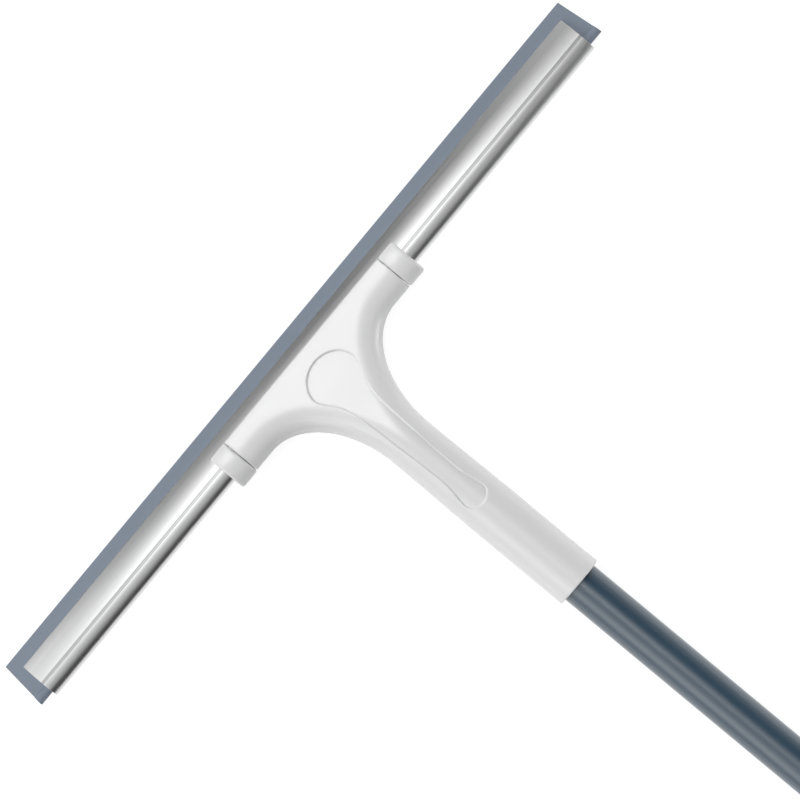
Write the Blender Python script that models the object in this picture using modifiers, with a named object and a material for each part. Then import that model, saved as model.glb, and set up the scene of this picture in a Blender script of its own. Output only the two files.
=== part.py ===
"""Window squeegee: a T-shaped head with a rubber blade, screwed to a telescopic pole.

It lies face up. X runs along the blade, +Y towards the blade and +Z out of the front face. Metres.
Lengths along the head and pole are measured from the blade's tip, down the middle of the head, which
bends, and on down the straight pole. This measure is called v below, and n is the height above that line.
"""

import math

import bmesh
import bpy
from mathutils import Matrix, Vector

# Fits
GAP = 0.0003
LOOSE_GAP = 0.0006
WEB_GAP = 0.0002

# Rubber blade
BLADE_LENGTH = 0.380
BLADE_SKEW = 0.0023
LIP_LENGTH = 0.0064
RUBBER_THICKNESS = 0.0020
BEAD_RADIUS = 0.0024

# Aluminium channel
CHANNEL_LENGTH = 0.3695
CHANNEL_DEPTH = 0.0191
CHANNEL_THICKNESS = 0.0100
CHANNEL_NOSE = 0.0052
CHANNEL_CREST = 0.0119
CHANNEL_BACK_WALL = 0.0020
LINE_WIDTH = 0.0006
LINE_DEPTH = 0.0004
LINE_SETBACK = 0.0008

# Head
HEAD_SETBACK = 0.0061
ARM_LENGTH = 0.0523
ARM_WALL = 0.0026
ARM_BACK_WALL = 0.0042
BEND_ANGLE = math.radians(9.9)
BEND_SETBACK = 0.0028
BEND_LENGTH = 0.0420
FILLET_ACROSS = 0.0300
WAIST = 0.00045
WAIST_RUN = 0.0520
NECK_LENGTH = 0.0956
SHELL_WALL = 0.0022
CROSS_RIB = 0.0026
COVER_LENGTH = 0.1267

# Arm-end collars
COLLAR_WIDTH = 0.0097
COLLAR_WALL = 0.0014
COLLAR_PROUD = 0.0004
COLLAR_LIP = 0.0010
COLLAR_EDGE = 0.0005
COLLAR_EDGE_ANGLE = math.radians(60)

# Thumb recess, its stem as distances from the blade's tip and half-widths
RECESS_DEPTH = 0.0008
RECESS_HEAD_LENGTH = 0.0116
RECESS_STEM = (
    (0.0320, 0.0132),
    (0.0355, 0.0120),
    (0.0417, 0.0084),
    (0.0475, 0.0068),
    (0.0585, 0.0056),
    (0.0708, 0.0052),
    (0.0880, 0.0045),
    (0.1000, 0.0046),
    (0.1104, 0.0062),
)
RECESS_END_LENGTH = 0.0052
RECESS_TIP_DEGREES = 8

# Cover screws, as places across the head and along it
HUB_SCREW_SPREAD = 0.0125
HUB_SCREW_AT = 0.0355
NECK_SCREWS_AT = (0.0630, 0.0960)
SCREW_SHANK_RADIUS = 0.0014
SCREW_HEAD_RADIUS = 0.0027
SCREW_HEAD_HEIGHT = 0.0020
SCREW_CROWN_RADIUS = 0.0019
SCREW_SEAT = 0.0045
SCREW_REACH = 0.0050
SCREW_CROSS = 0.0032
SCREW_CROSS_WIDTH = 0.0007
SCREW_CROSS_DEPTH = 0.0010
BOSS_RADIUS = 0.0042
BOSS_END = 0.0020

# Pole joint
SOCKET_WALL = 0.0022
SOCKET_DEPTH = 0.0284
THREAD_INSET = 0.0020
THREAD_HEIGHT = 0.0010
THREAD_PITCH = 0.0050
THREAD_CREST_WIDTH = 0.0014
THREAD_ROOT_WIDTH = 0.0026
THREAD_PAST_INSERT = 0.0020
INSERT_LENGTH = 0.0210
INSERT_WALL = 0.0009
INSERT_LIP = 0.0016
INSERT_LIP_LENGTH = 0.0030
WASHER_THICKNESS = 0.0012
PLUG_FLANGE = 0.0025
PLUG_SPIGOT = 0.0225
PLUG_PIN_AT = 0.0120
PIN_RADIUS = 0.00125

# Tubes
UPPER_TUBE_RADIUS = 0.0098
UPPER_TUBE_LENGTH = 0.520
LOWER_TUBE_LENGTH = 0.500
TUBE_WALL = 0.0009
TUBE_CLEARANCE = 0.0008
POLE_SHOWING = 0.170
STOP_SETBACK = 0.0800
STOP_LENGTH = 0.0040
BUSH_HEAD = 0.0060
BUSH_SPIGOT = 0.0200
BUSH_WALL = 0.0020

# Twist lock
LOCK_LENGTH = 0.0435
LOCK_LIP = 0.0025
LOCK_WALL = 0.0020
LOCK_FLUTES = 12
FLUTE_RADIUS = 0.0016
FLUTE_DEPTH = 0.0006
FLUTE_LENGTH = 0.0335
FINGER_LENGTH = 0.0100
FINGER_COUNT = 4
FINGER_SLIT = 0.0012
FERRULE_WALL = 0.0014
FERRULE_WEB = 0.0024
FERRULE_FLANGE = 0.0040
FERRULE_FLANGE_INSET = 0.0009
SNAP_HEIGHT = 0.0005
SNAP_LENGTH = 0.0024
SNAP_SETBACK = 0.0066

# Grip and end cap
GRIP_LENGTH = 0.1450
GRIP_WALL = 0.0037
GRIP_RINGS = 7
GRIP_RING_PITCH = 0.0160
GRIP_RING_WIDTH = 0.0030
GRIP_RING_DEPTH = 0.0009
GRIP_END_ROUND = 0.0020
CAP_FLANGE_INSET = 0.0010
CAP_FLANGE = 0.0030
CAP_DOME = 0.0090
CAP_PLUG = 0.0240
CAP_PLUG_WALL = 0.0020
CAP_PIN_AT = 0.0120
TAB_LENGTH = 0.0330
TAB_WIDTH = 0.0210
TAB_THICKNESS = 0.0070
EYE_RADIUS = 0.0045

# How finely round shapes are cut
ROUND_STEPS = 36
SMALL_STEPS = 16
THREAD_STEPS = 18
FLUTE_STEPS = 12
SHOULDER_STEPS = 5
PLATEAU_STEPS = 2
FILLET_STEPS = 12
NECK_STEPS = 5
BEND_STEPS = 8
ARC_STEPS = 8
MERGE = 0.000001
THREAD_PHASE = math.radians(5)
CREASE = math.radians(35)
EMPTY_SIZE = 0.02

# Sections worked out from the sizes above
CHANNEL_FRONT = LIP_LENGTH
CHANNEL_BACK = CHANNEL_FRONT + CHANNEL_DEPTH
CHANNEL_TOP = CHANNEL_THICKNESS / 2
BEAD_AT = CHANNEL_BACK - CHANNEL_BACK_WALL - GAP - BEAD_RADIUS
ARM_FRONT = CHANNEL_FRONT + HEAD_SETBACK
ARM_BACK = CHANNEL_BACK + GAP + ARM_BACK_WALL
ARM_HEIGHT = CHANNEL_TOP + GAP + ARM_WALL
TONGUE_INSET = COLLAR_WALL + GAP - COLLAR_PROUD
TONGUE_FRONT = ARM_FRONT + COLLAR_LIP + GAP
COLLAR_START = ARM_LENGTH + GAP
COLLAR_END = COLLAR_START + COLLAR_WIDTH
TONGUE_END = COLLAR_END - COLLAR_LIP - GAP
SOCKET_BORE = UPPER_TUBE_RADIUS + GAP
SOCKET_RADIUS = SOCKET_BORE + SOCKET_WALL
WAIST_HALF = SOCKET_RADIUS - WAIST

# Places along the head and pole, from the blade's tip
BEND_START = ARM_BACK + BEND_SETBACK
BEND_END = BEND_START + BEND_LENGTH
BEND_RADIUS = BEND_LENGTH / BEND_ANGLE
SOCKET_END = BEND_END + NECK_LENGTH
CAVITY_FRONT = CHANNEL_BACK + GAP + CROSS_RIB
TUBE_START = SOCKET_END - SOCKET_DEPTH
PLUG_FRONT = TUBE_START - GAP - PLUG_FLANGE
WASHER_FRONT = PLUG_FRONT - GAP - WASHER_THICKNESS
INSERT_BACK = WASHER_FRONT - GAP
INSERT_FRONT = INSERT_BACK - INSERT_LENGTH
LIP_BACK = INSERT_FRONT + INSERT_LIP_LENGTH
LIP_MIDDLE = INSERT_FRONT + INSERT_LIP_LENGTH / 2
CAVITY_END = INSERT_FRONT - 2 * SHELL_WALL
THREAD_START = INSERT_FRONT - THREAD_PAST_INSERT
TUBE_END = TUBE_START + UPPER_TUBE_LENGTH
LOCK_FRONT = SOCKET_END + POLE_SHOWING
LOCK_BACK = LOCK_FRONT + LOCK_LENGTH
FERRULE_FRONT = LOCK_FRONT + LOCK_LIP + GAP
WEB_FRONT = FERRULE_FRONT + FINGER_LENGTH
LOWER_START = WEB_FRONT + FERRULE_WEB + GAP
FERRULE_BACK = LOCK_BACK + GAP + FERRULE_FLANGE
LOWER_END = LOWER_START + LOWER_TUBE_LENGTH
CAP_FRONT = LOWER_END + GAP
GRIP_END = LOWER_END - GAP
GRIP_START = GRIP_END - GRIP_LENGTH
CAP_END = CAP_FRONT + TAB_LENGTH

# Radii about the pole's axis
UPPER_TUBE_BORE = UPPER_TUBE_RADIUS - TUBE_WALL
SPIGOT_RADIUS = UPPER_TUBE_BORE - GAP
THREAD_CREST = UPPER_TUBE_RADIUS - THREAD_INSET
THREAD_ROOT = THREAD_CREST - THREAD_HEIGHT
INSERT_BORE = THREAD_ROOT + GAP
INSERT_RADIUS = THREAD_CREST + GAP + INSERT_WALL
LOWER_TUBE_BORE = UPPER_TUBE_RADIUS + TUBE_CLEARANCE
LOWER_TUBE_RADIUS = LOWER_TUBE_BORE + TUBE_WALL
FERRULE_BORE = LOWER_TUBE_RADIUS + GAP
FERRULE_RADIUS = FERRULE_BORE + FERRULE_WALL
LOCK_BORE = FERRULE_RADIUS + GAP
LOCK_RADIUS = LOCK_BORE + LOCK_WALL
GRIP_RADIUS = LOWER_TUBE_RADIUS + GAP + GRIP_WALL


def spine_turn(v):
    """How far the head has turned down from the pole's direction."""
    return min(max((BEND_END - v) / BEND_RADIUS, 0), BEND_ANGLE)


def spine_fall(v):
    """How far the spine lies below the pole's axis."""
    turn = spine_turn(v)
    return BEND_RADIUS * (1 - math.cos(turn)) + max(BEND_START - v, 0) * math.sin(turn)


# The squeegee lies on the lowest of its head, lock and grip
COLLAR_HEIGHT = ARM_HEIGHT + COLLAR_PROUD
HEAD_REST = spine_fall(ARM_FRONT) + COLLAR_HEIGHT * math.cos(BEND_ANGLE)
AXIS_Z = max(HEAD_REST, LOCK_RADIUS, GRIP_RADIUS)

# The object's length is centred on the origin
TIP_REACH = (
    BEND_RADIUS * math.sin(BEND_ANGLE)
    + BEND_START * math.cos(BEND_ANGLE)
    + RUBBER_THICKNESS / 2 * math.sin(BEND_ANGLE)
)
BEND_END_Y = (CAP_END - BEND_END - TIP_REACH) / 2


def spine_point(v, n):
    """(y, z) of the point that lies n above the spine."""
    turn = spine_turn(v)
    along = max(BEND_START - v, 0)
    y = BEND_END_Y + BEND_RADIUS * math.sin(turn) + along * math.cos(turn) - max(v - BEND_END, 0)
    return y + n * math.sin(turn), AXIS_Z - spine_fall(v) + n * math.cos(turn)


def spine_place(x, v):
    """Matrix with its origin on the spine, Y towards the blade and Z square to the spine."""
    y, z = spine_point(v, 0)
    return Matrix.Translation((x, y, z)) @ Matrix.Rotation(-spine_turn(v), 4, "X")


def smooth(share):
    """0 up to 0, 1 from 1 on, and a smooth rise between."""
    share = min(max(share, 0), 1)
    return share * share * (3 - 2 * share)


def arc(steps, first, last):
    """Angles from first to last, in degrees, as radians."""
    return [math.radians(first + (last - first) * step / steps) for step in range(steps + 1)]


# Scene, collections and materials


def clear_scene():
    for obj in list(bpy.data.objects):
        bpy.data.objects.remove(obj, do_unlink=True)


def new_collection(name):
    collection = bpy.data.collections.new(name)
    bpy.context.scene.collection.children.link(collection)
    return collection


clear_scene()
PARTS = new_collection("window_squeegee")
CUTTERS = new_collection("cutters")


def new_material(name, color, roughness, metallic=0.0):
    material = bpy.data.materials.new(name)
    material.use_nodes = True
    shader = material.node_tree.nodes["Principled BSDF"]
    shader.inputs["Base Color"].default_value = (*color, 1.0)
    shader.inputs["Roughness"].default_value = roughness
    shader.inputs["Metallic"].default_value = metallic
    return material


WHITE_PLASTIC = (0.80, 0.80, 0.80)
BLUE_GREY = (0.055, 0.095, 0.135)


# Making objects


def empty_at(name, matrix, parent=None):
    empty = bpy.data.objects.new(name, None)
    empty.empty_display_size = EMPTY_SIZE
    PARTS.objects.link(empty)
    attach(empty, matrix, parent)
    return empty


def attach(obj, matrix, parent):
    """Gives the object its place in the world, under its parent."""
    if parent:
        obj.parent = parent
        matrix = parent.matrix_world.inverted() @ matrix
    obj.matrix_basis = matrix
    bpy.context.view_layer.update()


def new_object(name, mesh, matrix, parent=None, material=None):
    """A part where it has a material, and a cutter where it has none."""
    mesh.shade_smooth()
    mesh.set_sharp_from_angle(angle=CREASE)
    obj = bpy.data.objects.new(name, mesh)
    if material:
        mesh.materials.append(material)
        PARTS.objects.link(obj)
    else:
        CUTTERS.objects.link(obj)
        obj.hide_render = True
        obj.display_type = "WIRE"
    attach(obj, matrix, parent)
    return obj


def combine(obj, other, operation="DIFFERENCE"):
    modifier = obj.modifiers.new(other.name, "BOOLEAN")
    modifier.operation = operation
    modifier.object = other
    modifier.solver = "EXACT"


def crease_nodes():
    """Nodes that mark creases sharp, also the ones that a cut has made."""
    tree = bpy.data.node_groups.new("sharp creases", "GeometryNodeTree")
    for in_out in ("INPUT", "OUTPUT"):
        tree.interface.new_socket("Geometry", in_out=in_out, socket_type="NodeSocketGeometry")
    source = tree.nodes.new("NodeGroupInput")
    result = tree.nodes.new("NodeGroupOutput")
    angle = tree.nodes.new("GeometryNodeInputMeshEdgeAngle")
    gentle = tree.nodes.new("FunctionNodeCompare")
    gentle.operation = "LESS_THAN"
    gentle.inputs["B"].default_value = CREASE
    shade = tree.nodes.new("GeometryNodeSetShadeSmooth")
    shade.domain = "EDGE"
    tree.links.new(angle.outputs["Unsigned Angle"], gentle.inputs["A"])
    tree.links.new(gentle.outputs["Result"], shade.inputs["Shade Smooth"])
    tree.links.new(source.outputs[0], shade.inputs["Geometry"])
    tree.links.new(shade.outputs["Geometry"], result.inputs[0])
    return tree


def mark_creases():
    tree = crease_nodes()
    for obj in PARTS.objects:
        if obj.modifiers:
            obj.modifiers.new("sharp creases", "NODES").node_group = tree


def evaluated_mesh(obj):
    """The object's shape with its modifiers applied, as a mesh of its own."""
    bpy.context.view_layer.update()
    evaluated = obj.evaluated_get(bpy.context.evaluated_depsgraph_get())
    return bpy.data.meshes.new_from_object(evaluated)


def finished(bm, name):
    mesh = bpy.data.meshes.new(name)
    bm.to_mesh(mesh)
    bm.free()
    return mesh


def outline_mesh(name, outline, thickness):
    """A flat closed outline with a thickness, centred on the outline's plane."""
    curve = bpy.data.curves.new(name, "CURVE")
    curve.dimensions = "2D"
    curve.fill_mode = "BOTH"
    curve.extrude = thickness / 2
    spline = curve.splines.new("POLY")
    spline.points.add(len(outline) - 1)
    for point, (across, up) in zip(spline.points, outline):
        point.co = (across, up, 0, 1)
    spline.use_cyclic_u = True
    guide = bpy.data.objects.new(name, curve)
    CUTTERS.objects.link(guide)
    mesh = evaluated_mesh(guide)
    bpy.data.objects.remove(guide, do_unlink=True)
    bm = bmesh.new()
    bm.from_mesh(mesh)
    bmesh.ops.remove_doubles(bm, verts=bm.verts, dist=MERGE)
    bmesh.ops.recalc_face_normals(bm, faces=bm.faces)
    bm.to_mesh(mesh)
    bm.free()
    return mesh


def bar_mesh(name, outline, length):
    """A (v, n) outline drawn along X, in the straight front part of the head."""
    mesh = outline_mesh(name, [(BEND_START - v, n) for v, n in outline], length)
    mesh.transform(Matrix(((0, 0, 1, 0), (1, 0, 0, 0), (0, 1, 0, 0), (0, 0, 0, 1))))
    return mesh


def profile_mesh(name, profile, closed):
    mesh = bpy.data.meshes.new(name)
    count = len(profile)
    edges = [(i, (i + 1) % count) for i in range(count if closed else count - 1)]
    mesh.from_pydata([(radius, 0, height) for radius, height in profile], edges, [])
    return mesh


def turned(name, profile, matrix, parent=None, material=None, steps=ROUND_STEPS, closed=True):
    """A profile of (radius, height) turned about Z. It runs down the outer side."""
    obj = new_object(name, profile_mesh(name, profile, closed), matrix, parent, material)
    screw = obj.modifiers.new("turn", "SCREW")
    screw.axis = "Z"
    screw.angle = math.tau
    screw.steps = steps
    screw.render_steps = steps
    screw.use_merge_vertices = True
    screw.merge_threshold = MERGE
    screw.use_smooth_shade = True
    return obj


def axis_place(v):
    """Matrix on the pole's axis, its Z towards the blade."""
    y, z = spine_point(v, 0)
    return Matrix.Translation((0, y, z)) @ Matrix.Rotation(math.radians(-90), 4, "X")


def pole_turned(name, profile, origin, parent=None, material=None, steps=ROUND_STEPS, closed=True):
    """A profile of (radius, v) turned about the pole's axis."""
    heights = [(radius, origin - v) for radius, v in profile]
    return turned(name, heights, axis_place(origin), parent, material, steps, closed)


def ring(inner, outer, start, end):
    """A plain tube's profile, outer side first."""
    return [(outer, start), (outer, end), (inner, end), (inner, start)]


def disc(radius, start, end):
    return [(0, start), (radius, start), (radius, end), (0, end)]


def cross_pin(name, v, half_length, radius, parent=None, material=None):
    """A pin or its hole, square through the pole's axis along X."""
    bm = bmesh.new()
    bmesh.ops.create_cone(
        bm, cap_ends=True, segments=SMALL_STEPS, radius1=radius, radius2=radius, depth=2 * half_length
    )
    y, z = spine_point(v, 0)
    matrix = Matrix.Translation((0, y, z)) @ Matrix.Rotation(math.radians(90), 4, "Y")
    return new_object(name, finished(bm, name), matrix, parent, material)


def loft(name, sections):
    """A closed solid through rings of world points, for cutters that follow the bend."""
    bm = bmesh.new()
    rings = [[bm.verts.new(point) for point in section] for section in sections]
    for one, two in zip(rings, rings[1:]):
        for i in range(len(one)):
            j = (i + 1) % len(one)
            bm.faces.new((one[i], one[j], two[j], two[i]))
    bm.faces.new(rings[0])
    bm.faces.new(rings[-1])
    bmesh.ops.recalc_face_normals(bm, faces=bm.faces)
    return new_object(name, finished(bm, name), Matrix.Identity(4))


def bent_block(name, widths, low, high):
    """A block along the spine, from n = low to n = high, with a half-width for each v."""
    sections = []
    for v, half in widths:
        corners = ((-half, low), (half, low), (half, high), (-half, high))
        sections.append([(x, *spine_point(v, n)) for x, n in corners])
    return loft(name, sections)


def along_bend(start, end):
    """Places from start to end, close together where the spine bends."""
    bend = [BEND_START + BEND_LENGTH * step / BEND_STEPS for step in range(BEND_STEPS + 1)]
    return [start] + [v for v in bend if start < v < end] + [end]


# Channel, blade and what wraps them, as (v, n) outlines


def channel_upper(grow=0.0):
    """The channel's upper side from its front lip to its back edge, or a space grown round it."""
    crest_at = CHANNEL_FRONT + CHANNEL_CREST
    nose = CHANNEL_NOSE / 2 + grow
    top = CHANNEL_TOP + grow
    points = []
    for step in range(ARC_STEPS + 1):
        share = 1 - step / ARC_STEPS
        points.append((crest_at - share * (CHANNEL_CREST + grow), top - (top - nose) * share**2))
    back = CHANNEL_DEPTH - CHANNEL_CREST + grow
    for angle in arc(ARC_STEPS, 0, 90)[1:]:
        points.append((crest_at + back * math.sin(angle), top * math.cos(angle)))
    return points


def mirrored(upper):
    """An upper side that ends on n = 0, followed by its mirror image."""
    return upper + [(v, -n) for v, n in reversed(upper[:-1])]


def channel_outline():
    """The channel's outer side with a fine line, and its slot and bead chamber."""
    upper = channel_upper()
    line_end = CHANNEL_FRONT + CHANNEL_CREST - LINE_SETBACK
    line = [(line_end - LINE_WIDTH, n) for n in (CHANNEL_TOP, CHANNEL_TOP - LINE_DEPTH)]
    line += [(line_end, n) for n in (CHANNEL_TOP - LINE_DEPTH, CHANNEL_TOP)]
    before = [point for point in upper if point[0] < line_end - LINE_WIDTH]
    after = [point for point in upper if point[0] > line_end]
    outer = mirrored(before + line + after)
    slot = RUBBER_THICKNESS / 2 + GAP
    chamber = BEAD_RADIUS + GAP
    mouth = math.degrees(math.asin(slot / chamber))
    inner = [(CHANNEL_FRONT, -slot)]
    for angle in arc(2 * ARC_STEPS, 180 + mouth, 540 - mouth):
        inner.append((BEAD_AT + chamber * math.cos(angle), chamber * math.sin(angle)))
    inner.append((CHANNEL_FRONT, slot))
    return outer + inner


def rubber_outline():
    half = RUBBER_THICKNESS / 2
    mouth = math.degrees(math.asin(half / BEAD_RADIUS))
    outline = [(0, half), (0, -half)]
    for angle in arc(2 * ARC_STEPS, 180 + mouth, 540 - mouth):
        outline.append((BEAD_AT + BEAD_RADIUS * math.cos(angle), BEAD_RADIUS * math.sin(angle)))
    return outline


def wrap_outline(front, inset):
    """The arm's section: flat, then falling in a quarter ellipse to its back edge."""
    back = ARM_BACK - inset
    fall = SOCKET_RADIUS - inset
    top = ARM_HEIGHT - inset
    upper = [(front, top)]
    for angle in arc(ARC_STEPS, 0, 90):
        upper.append((back - fall + fall * math.sin(angle), top * math.cos(angle)))
    return mirrored(upper)


# Head form, as the real head looks from above and in section


def neck_half_width(v):
    return WAIST_HALF + WAIST * smooth((v - BEND_END) / WAIST_RUN)


def head_height(v):
    """How high the front face stands above the spine, and how deep the back lies below it."""
    share = smooth((v - ARM_BACK) / (BEND_END - ARM_BACK))
    return ARM_HEIGHT + (neck_half_width(v) - ARM_HEIGHT) * share


def rim_stations():
    """Points (x, v) round the right half of the rim, each with its inward normal."""
    fillet_along = BEND_END - ARM_BACK
    fillet_x = WAIST_HALF + FILLET_ACROSS
    stations = [((ARM_LENGTH, ARM_BACK), (0.0, -1.0)), ((fillet_x, ARM_BACK), (0.0, -1.0))]
    for angle in arc(FILLET_STEPS, 90, 0)[1:-1]:
        x = WAIST_HALF + FILLET_ACROSS * (1 - math.cos(angle))
        v = BEND_END - fillet_along * math.sin(angle)
        normal = Vector((fillet_along * math.cos(angle), FILLET_ACROSS * math.sin(angle)))
        stations.append(((x, v), tuple(-normal.normalized())))
    for step in range(NECK_STEPS + 1):
        v = BEND_END + NECK_LENGTH * step / NECK_STEPS
        stations.append(((neck_half_width(v), v), (-1.0, 0.0)))
    return stations


def inward_line(point, normal, inset):
    """Points (x, v) from the rim in to the front edge or the centreline, with a slope angle each."""
    x, v = point
    to_centre = x / -normal[0] if normal[0] else math.inf
    to_front = (v - ARM_FRONT) / -normal[1] if normal[1] else math.inf
    fall = min(SOCKET_RADIUS, to_centre) - inset
    line = []
    for angle in arc(SHOULDER_STEPS, 0, 90):
        line.append((inset + fall * (1 - math.cos(angle)), angle))
    full = min(to_centre, to_front)
    for step in range(1, PLATEAU_STEPS + 1):
        line.append((inset + fall + (full - inset - fall) * step / PLATEAU_STEPS, math.radians(90)))
    points = [(x + normal[0] * reach, v + normal[1] * reach, angle) for reach, angle in line]
    return points, abs(to_centre - to_front)


def head_form(name, inset=0.0, material=None, parent=None):
    """The whole head as one solid, or what is left of it inside a wall of the given inset."""
    rows = [inward_line(point, normal, inset) for point, normal in rim_stations()]
    corner = min(range(len(rows)), key=lambda i: rows[i][1])
    lines = [points for points, _ in rows]
    lines[corner][-1] = (0.0, ARM_FRONT, math.radians(90))
    bm = bmesh.new()
    sides = {}
    for side in (1, -1):
        sides[side] = []
        for index, line in enumerate(lines):
            row = []
            for column, (x, v, angle) in enumerate(line):
                if column == 0 and side == -1:
                    row.append(sides[1][index][0])
                    continue
                n = side * (head_height(v) - inset) * math.sin(angle)
                row.append(bm.verts.new((max(x, 0.0), *spine_point(v, n))))
            sides[side].append(row)
        for one, two in zip(sides[side], sides[side][1:]):
            for i in range(len(one) - 1):
                bm.faces.new((one[i], one[i + 1], two[i + 1], two[i])[::side])
    bm.faces.new(sides[1][0][::-1] + sides[-1][0][1:])
    bm.faces.new(sides[1][-1] + sides[-1][-1][:0:-1])
    for index in range(corner):
        top = (sides[1][index][-1], sides[1][index + 1][-1])
        bottom = (sides[-1][index + 1][-1], sides[-1][index][-1])
        bm.faces.new(top + bottom)
    bmesh.ops.remove_doubles(bm, verts=bm.verts, dist=MERGE)
    bmesh.ops.recalc_face_normals(bm, faces=bm.faces)
    obj = new_object(name, finished(bm, name), Matrix.Identity(4), parent, material)
    mirror = obj.modifiers.new("both halves", "MIRROR")
    mirror.merge_threshold = MERGE
    return obj


def recess_widths():
    """Half-widths of the thumb recess along the spine: a round head, a waisted stem, a round end."""
    head_v, head_half = RECESS_STEM[0]
    end_v, end_half = RECESS_STEM[-1]
    widths = []
    for angle in arc(ARC_STEPS, RECESS_TIP_DEGREES, 90)[:-1]:
        v = head_v - RECESS_HEAD_LENGTH * math.cos(angle)
        widths.append((v, head_half * math.sin(angle)))
    for (v, half), (next_v, next_half) in zip(RECESS_STEM, RECESS_STEM[1:]):
        widths.append((v, half))
        widths.append(((v + next_v) / 2, (half + next_half) / 2))
    for angle in arc(ARC_STEPS, 90, RECESS_TIP_DEGREES):
        v = end_v + RECESS_END_LENGTH * math.cos(angle)
        widths.append((v, end_half * math.sin(angle)))
    return widths


# The cutters and fillers that several head parts share

FAR = 2 * SOCKET_RADIUS
SCREW_PLACES = (
    ("hub_screw_left", -HUB_SCREW_SPREAD, HUB_SCREW_AT),
    ("hub_screw_right", HUB_SCREW_SPREAD, HUB_SCREW_AT),
    ("neck_screw_upper", 0.0, NECK_SCREWS_AT[0]),
    ("neck_screw_lower", 0.0, NECK_SCREWS_AT[1]),
)
SCREW_SPOTS = [(x, v) for _, x, v in SCREW_PLACES]


def posts(name, low, high):
    """Posts round the screws, from n = low to n = high."""
    bm = bmesh.new()
    for x, v in SCREW_SPOTS:
        bmesh.ops.create_cone(
            bm,
            cap_ends=True,
            segments=SMALL_STEPS,
            radius1=BOSS_RADIUS,
            radius2=BOSS_RADIUS,
            depth=high - low,
            matrix=spine_place(x, v) @ Matrix.Translation((0, 0, (low + high) / 2)),
        )
    return new_object(name, finished(bm, name), Matrix.Identity(4))


def screw_spaces():
    """Room for each screw's shank, and for its head and driver from the back."""
    shank = SCREW_SHANK_RADIUS + GAP
    head = SCREW_HEAD_RADIUS + GAP
    reach = SCREW_REACH + GAP
    profile = [(0, reach), (shank, reach), (shank, -SCREW_SEAT)]
    profile += [(head, -SCREW_SEAT), (head, -FAR), (0, -FAR)]
    one = turned("screw_space", profile, Matrix.Identity(4), steps=SMALL_STEPS, closed=False)
    mesh = evaluated_mesh(one)
    bpy.data.objects.remove(one, do_unlink=True)
    bm = bmesh.new()
    for x, v in SCREW_SPOTS:
        copy = mesh.copy()
        copy.transform(spine_place(x, v))
        bm.from_mesh(copy)
        bpy.data.meshes.remove(copy)
    return new_object("screw_spaces", finished(bm, "screw_spaces"), Matrix.Identity(4))


def socket_profile():
    """Room for the thread's tip, the threaded sleeve and the tube, from inside the neck outwards."""
    thread = THREAD_CREST + LOOSE_GAP
    sleeve = INSERT_RADIUS + GAP
    open_end = SOCKET_END + FAR
    return [
        (0, CAVITY_END - SHELL_WALL),
        (thread, CAVITY_END - SHELL_WALL),
        (thread, LIP_MIDDLE),
        (sleeve, LIP_MIDDLE),
        (sleeve, INSERT_BACK),
        (SOCKET_BORE, INSERT_BACK),
        (SOCKET_BORE, open_end),
        (0, open_end),
    ]


def hexagon(name, grow):
    """The threaded sleeve's six-sided lip, or the pocket that keeps it from turning."""
    radius = INSERT_RADIUS + INSERT_LIP + grow / math.cos(math.radians(30))
    profile = disc(radius, INSERT_FRONT - grow, LIP_BACK + grow)
    return pole_turned(name, profile, SOCKET_END, steps=6, closed=False)


def make_head_tools(blade_frame):
    def bar(name, outline, length):
        return new_object(name, bar_mesh(name, outline, length), blade_frame.matrix_world)

    def wide_block(name, start, end, high):
        half = ARM_LENGTH + FAR
        return bent_block(name, [(v, half) for v in along_bend(start, end)], -FAR, high)

    tongues = wrap_outline(TONGUE_FRONT, TONGUE_INSET)
    round_tongues = wrap_outline(TONGUE_FRONT - GAP, TONGUE_INSET - GAP)
    tools = {
        "tongues": bar("tongues", tongues, 2 * TONGUE_END),
        "tongue_space": bar("tongue_space", round_tongues, 2 * (TONGUE_END + GAP)),
        "channel_space": bar("channel_space", mirrored(channel_upper(GAP)), CHANNEL_LENGTH),
        "cavity": head_form("cavity", SHELL_WALL),
        "cavity_reach": wide_block("cavity_reach", CAVITY_FRONT, CAVITY_END, FAR),
        "cover_space": wide_block("cover_space", -FAR, COVER_LENGTH, GAP / 2),
        "cover_reach": wide_block("cover_reach", -FAR, COVER_LENGTH - GAP, -GAP / 2),
        "bosses": posts("bosses", -BOSS_END, FAR),
        "towers": posts("towers", -FAR, -BOSS_END - GAP),
        "under_skin": head_form("under_skin", (SHELL_WALL + RECESS_DEPTH) / 2),
        "screw_spaces": screw_spaces(),
        "recess": bent_block("recess", recess_widths(), 0.0, FAR),
        "recess_floor": head_form("recess_floor", RECESS_DEPTH),
        "socket_space": pole_turned("socket_space", socket_profile(), SOCKET_END, closed=False),
        "lip_pocket": hexagon("lip_pocket", GAP),
    }
    combine(tools["cavity"], tools["cavity_reach"], "INTERSECT")
    combine(tools["recess"], tools["recess_floor"])
    combine(tools["bosses"], tools["under_skin"], "INTERSECT")
    combine(tools["towers"], tools["under_skin"], "INTERSECT")
    return tools


# Parts of the head


def make_rubber_blade(blade_frame):
    material = new_material("rubber", (0.185, 0.225, 0.275), 0.55)
    mesh = bar_mesh("rubber_blade", rubber_outline(), BLADE_LENGTH)
    for vertex in mesh.vertices:
        along = (BEND_START - vertex.co.y) / (BEAD_AT + BEAD_RADIUS)
        vertex.co.x += math.copysign(BLADE_SKEW * along, vertex.co.x)
    new_object("rubber_blade", mesh, blade_frame.matrix_world, blade_frame, material)


def make_blade_channel(blade_frame):
    material = new_material("brushed_aluminium", (0.78, 0.79, 0.80), 0.32, 1.0)
    mesh = bar_mesh("blade_channel", channel_outline(), CHANNEL_LENGTH)
    new_object("blade_channel", mesh, blade_frame.matrix_world, blade_frame, material)


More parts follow.
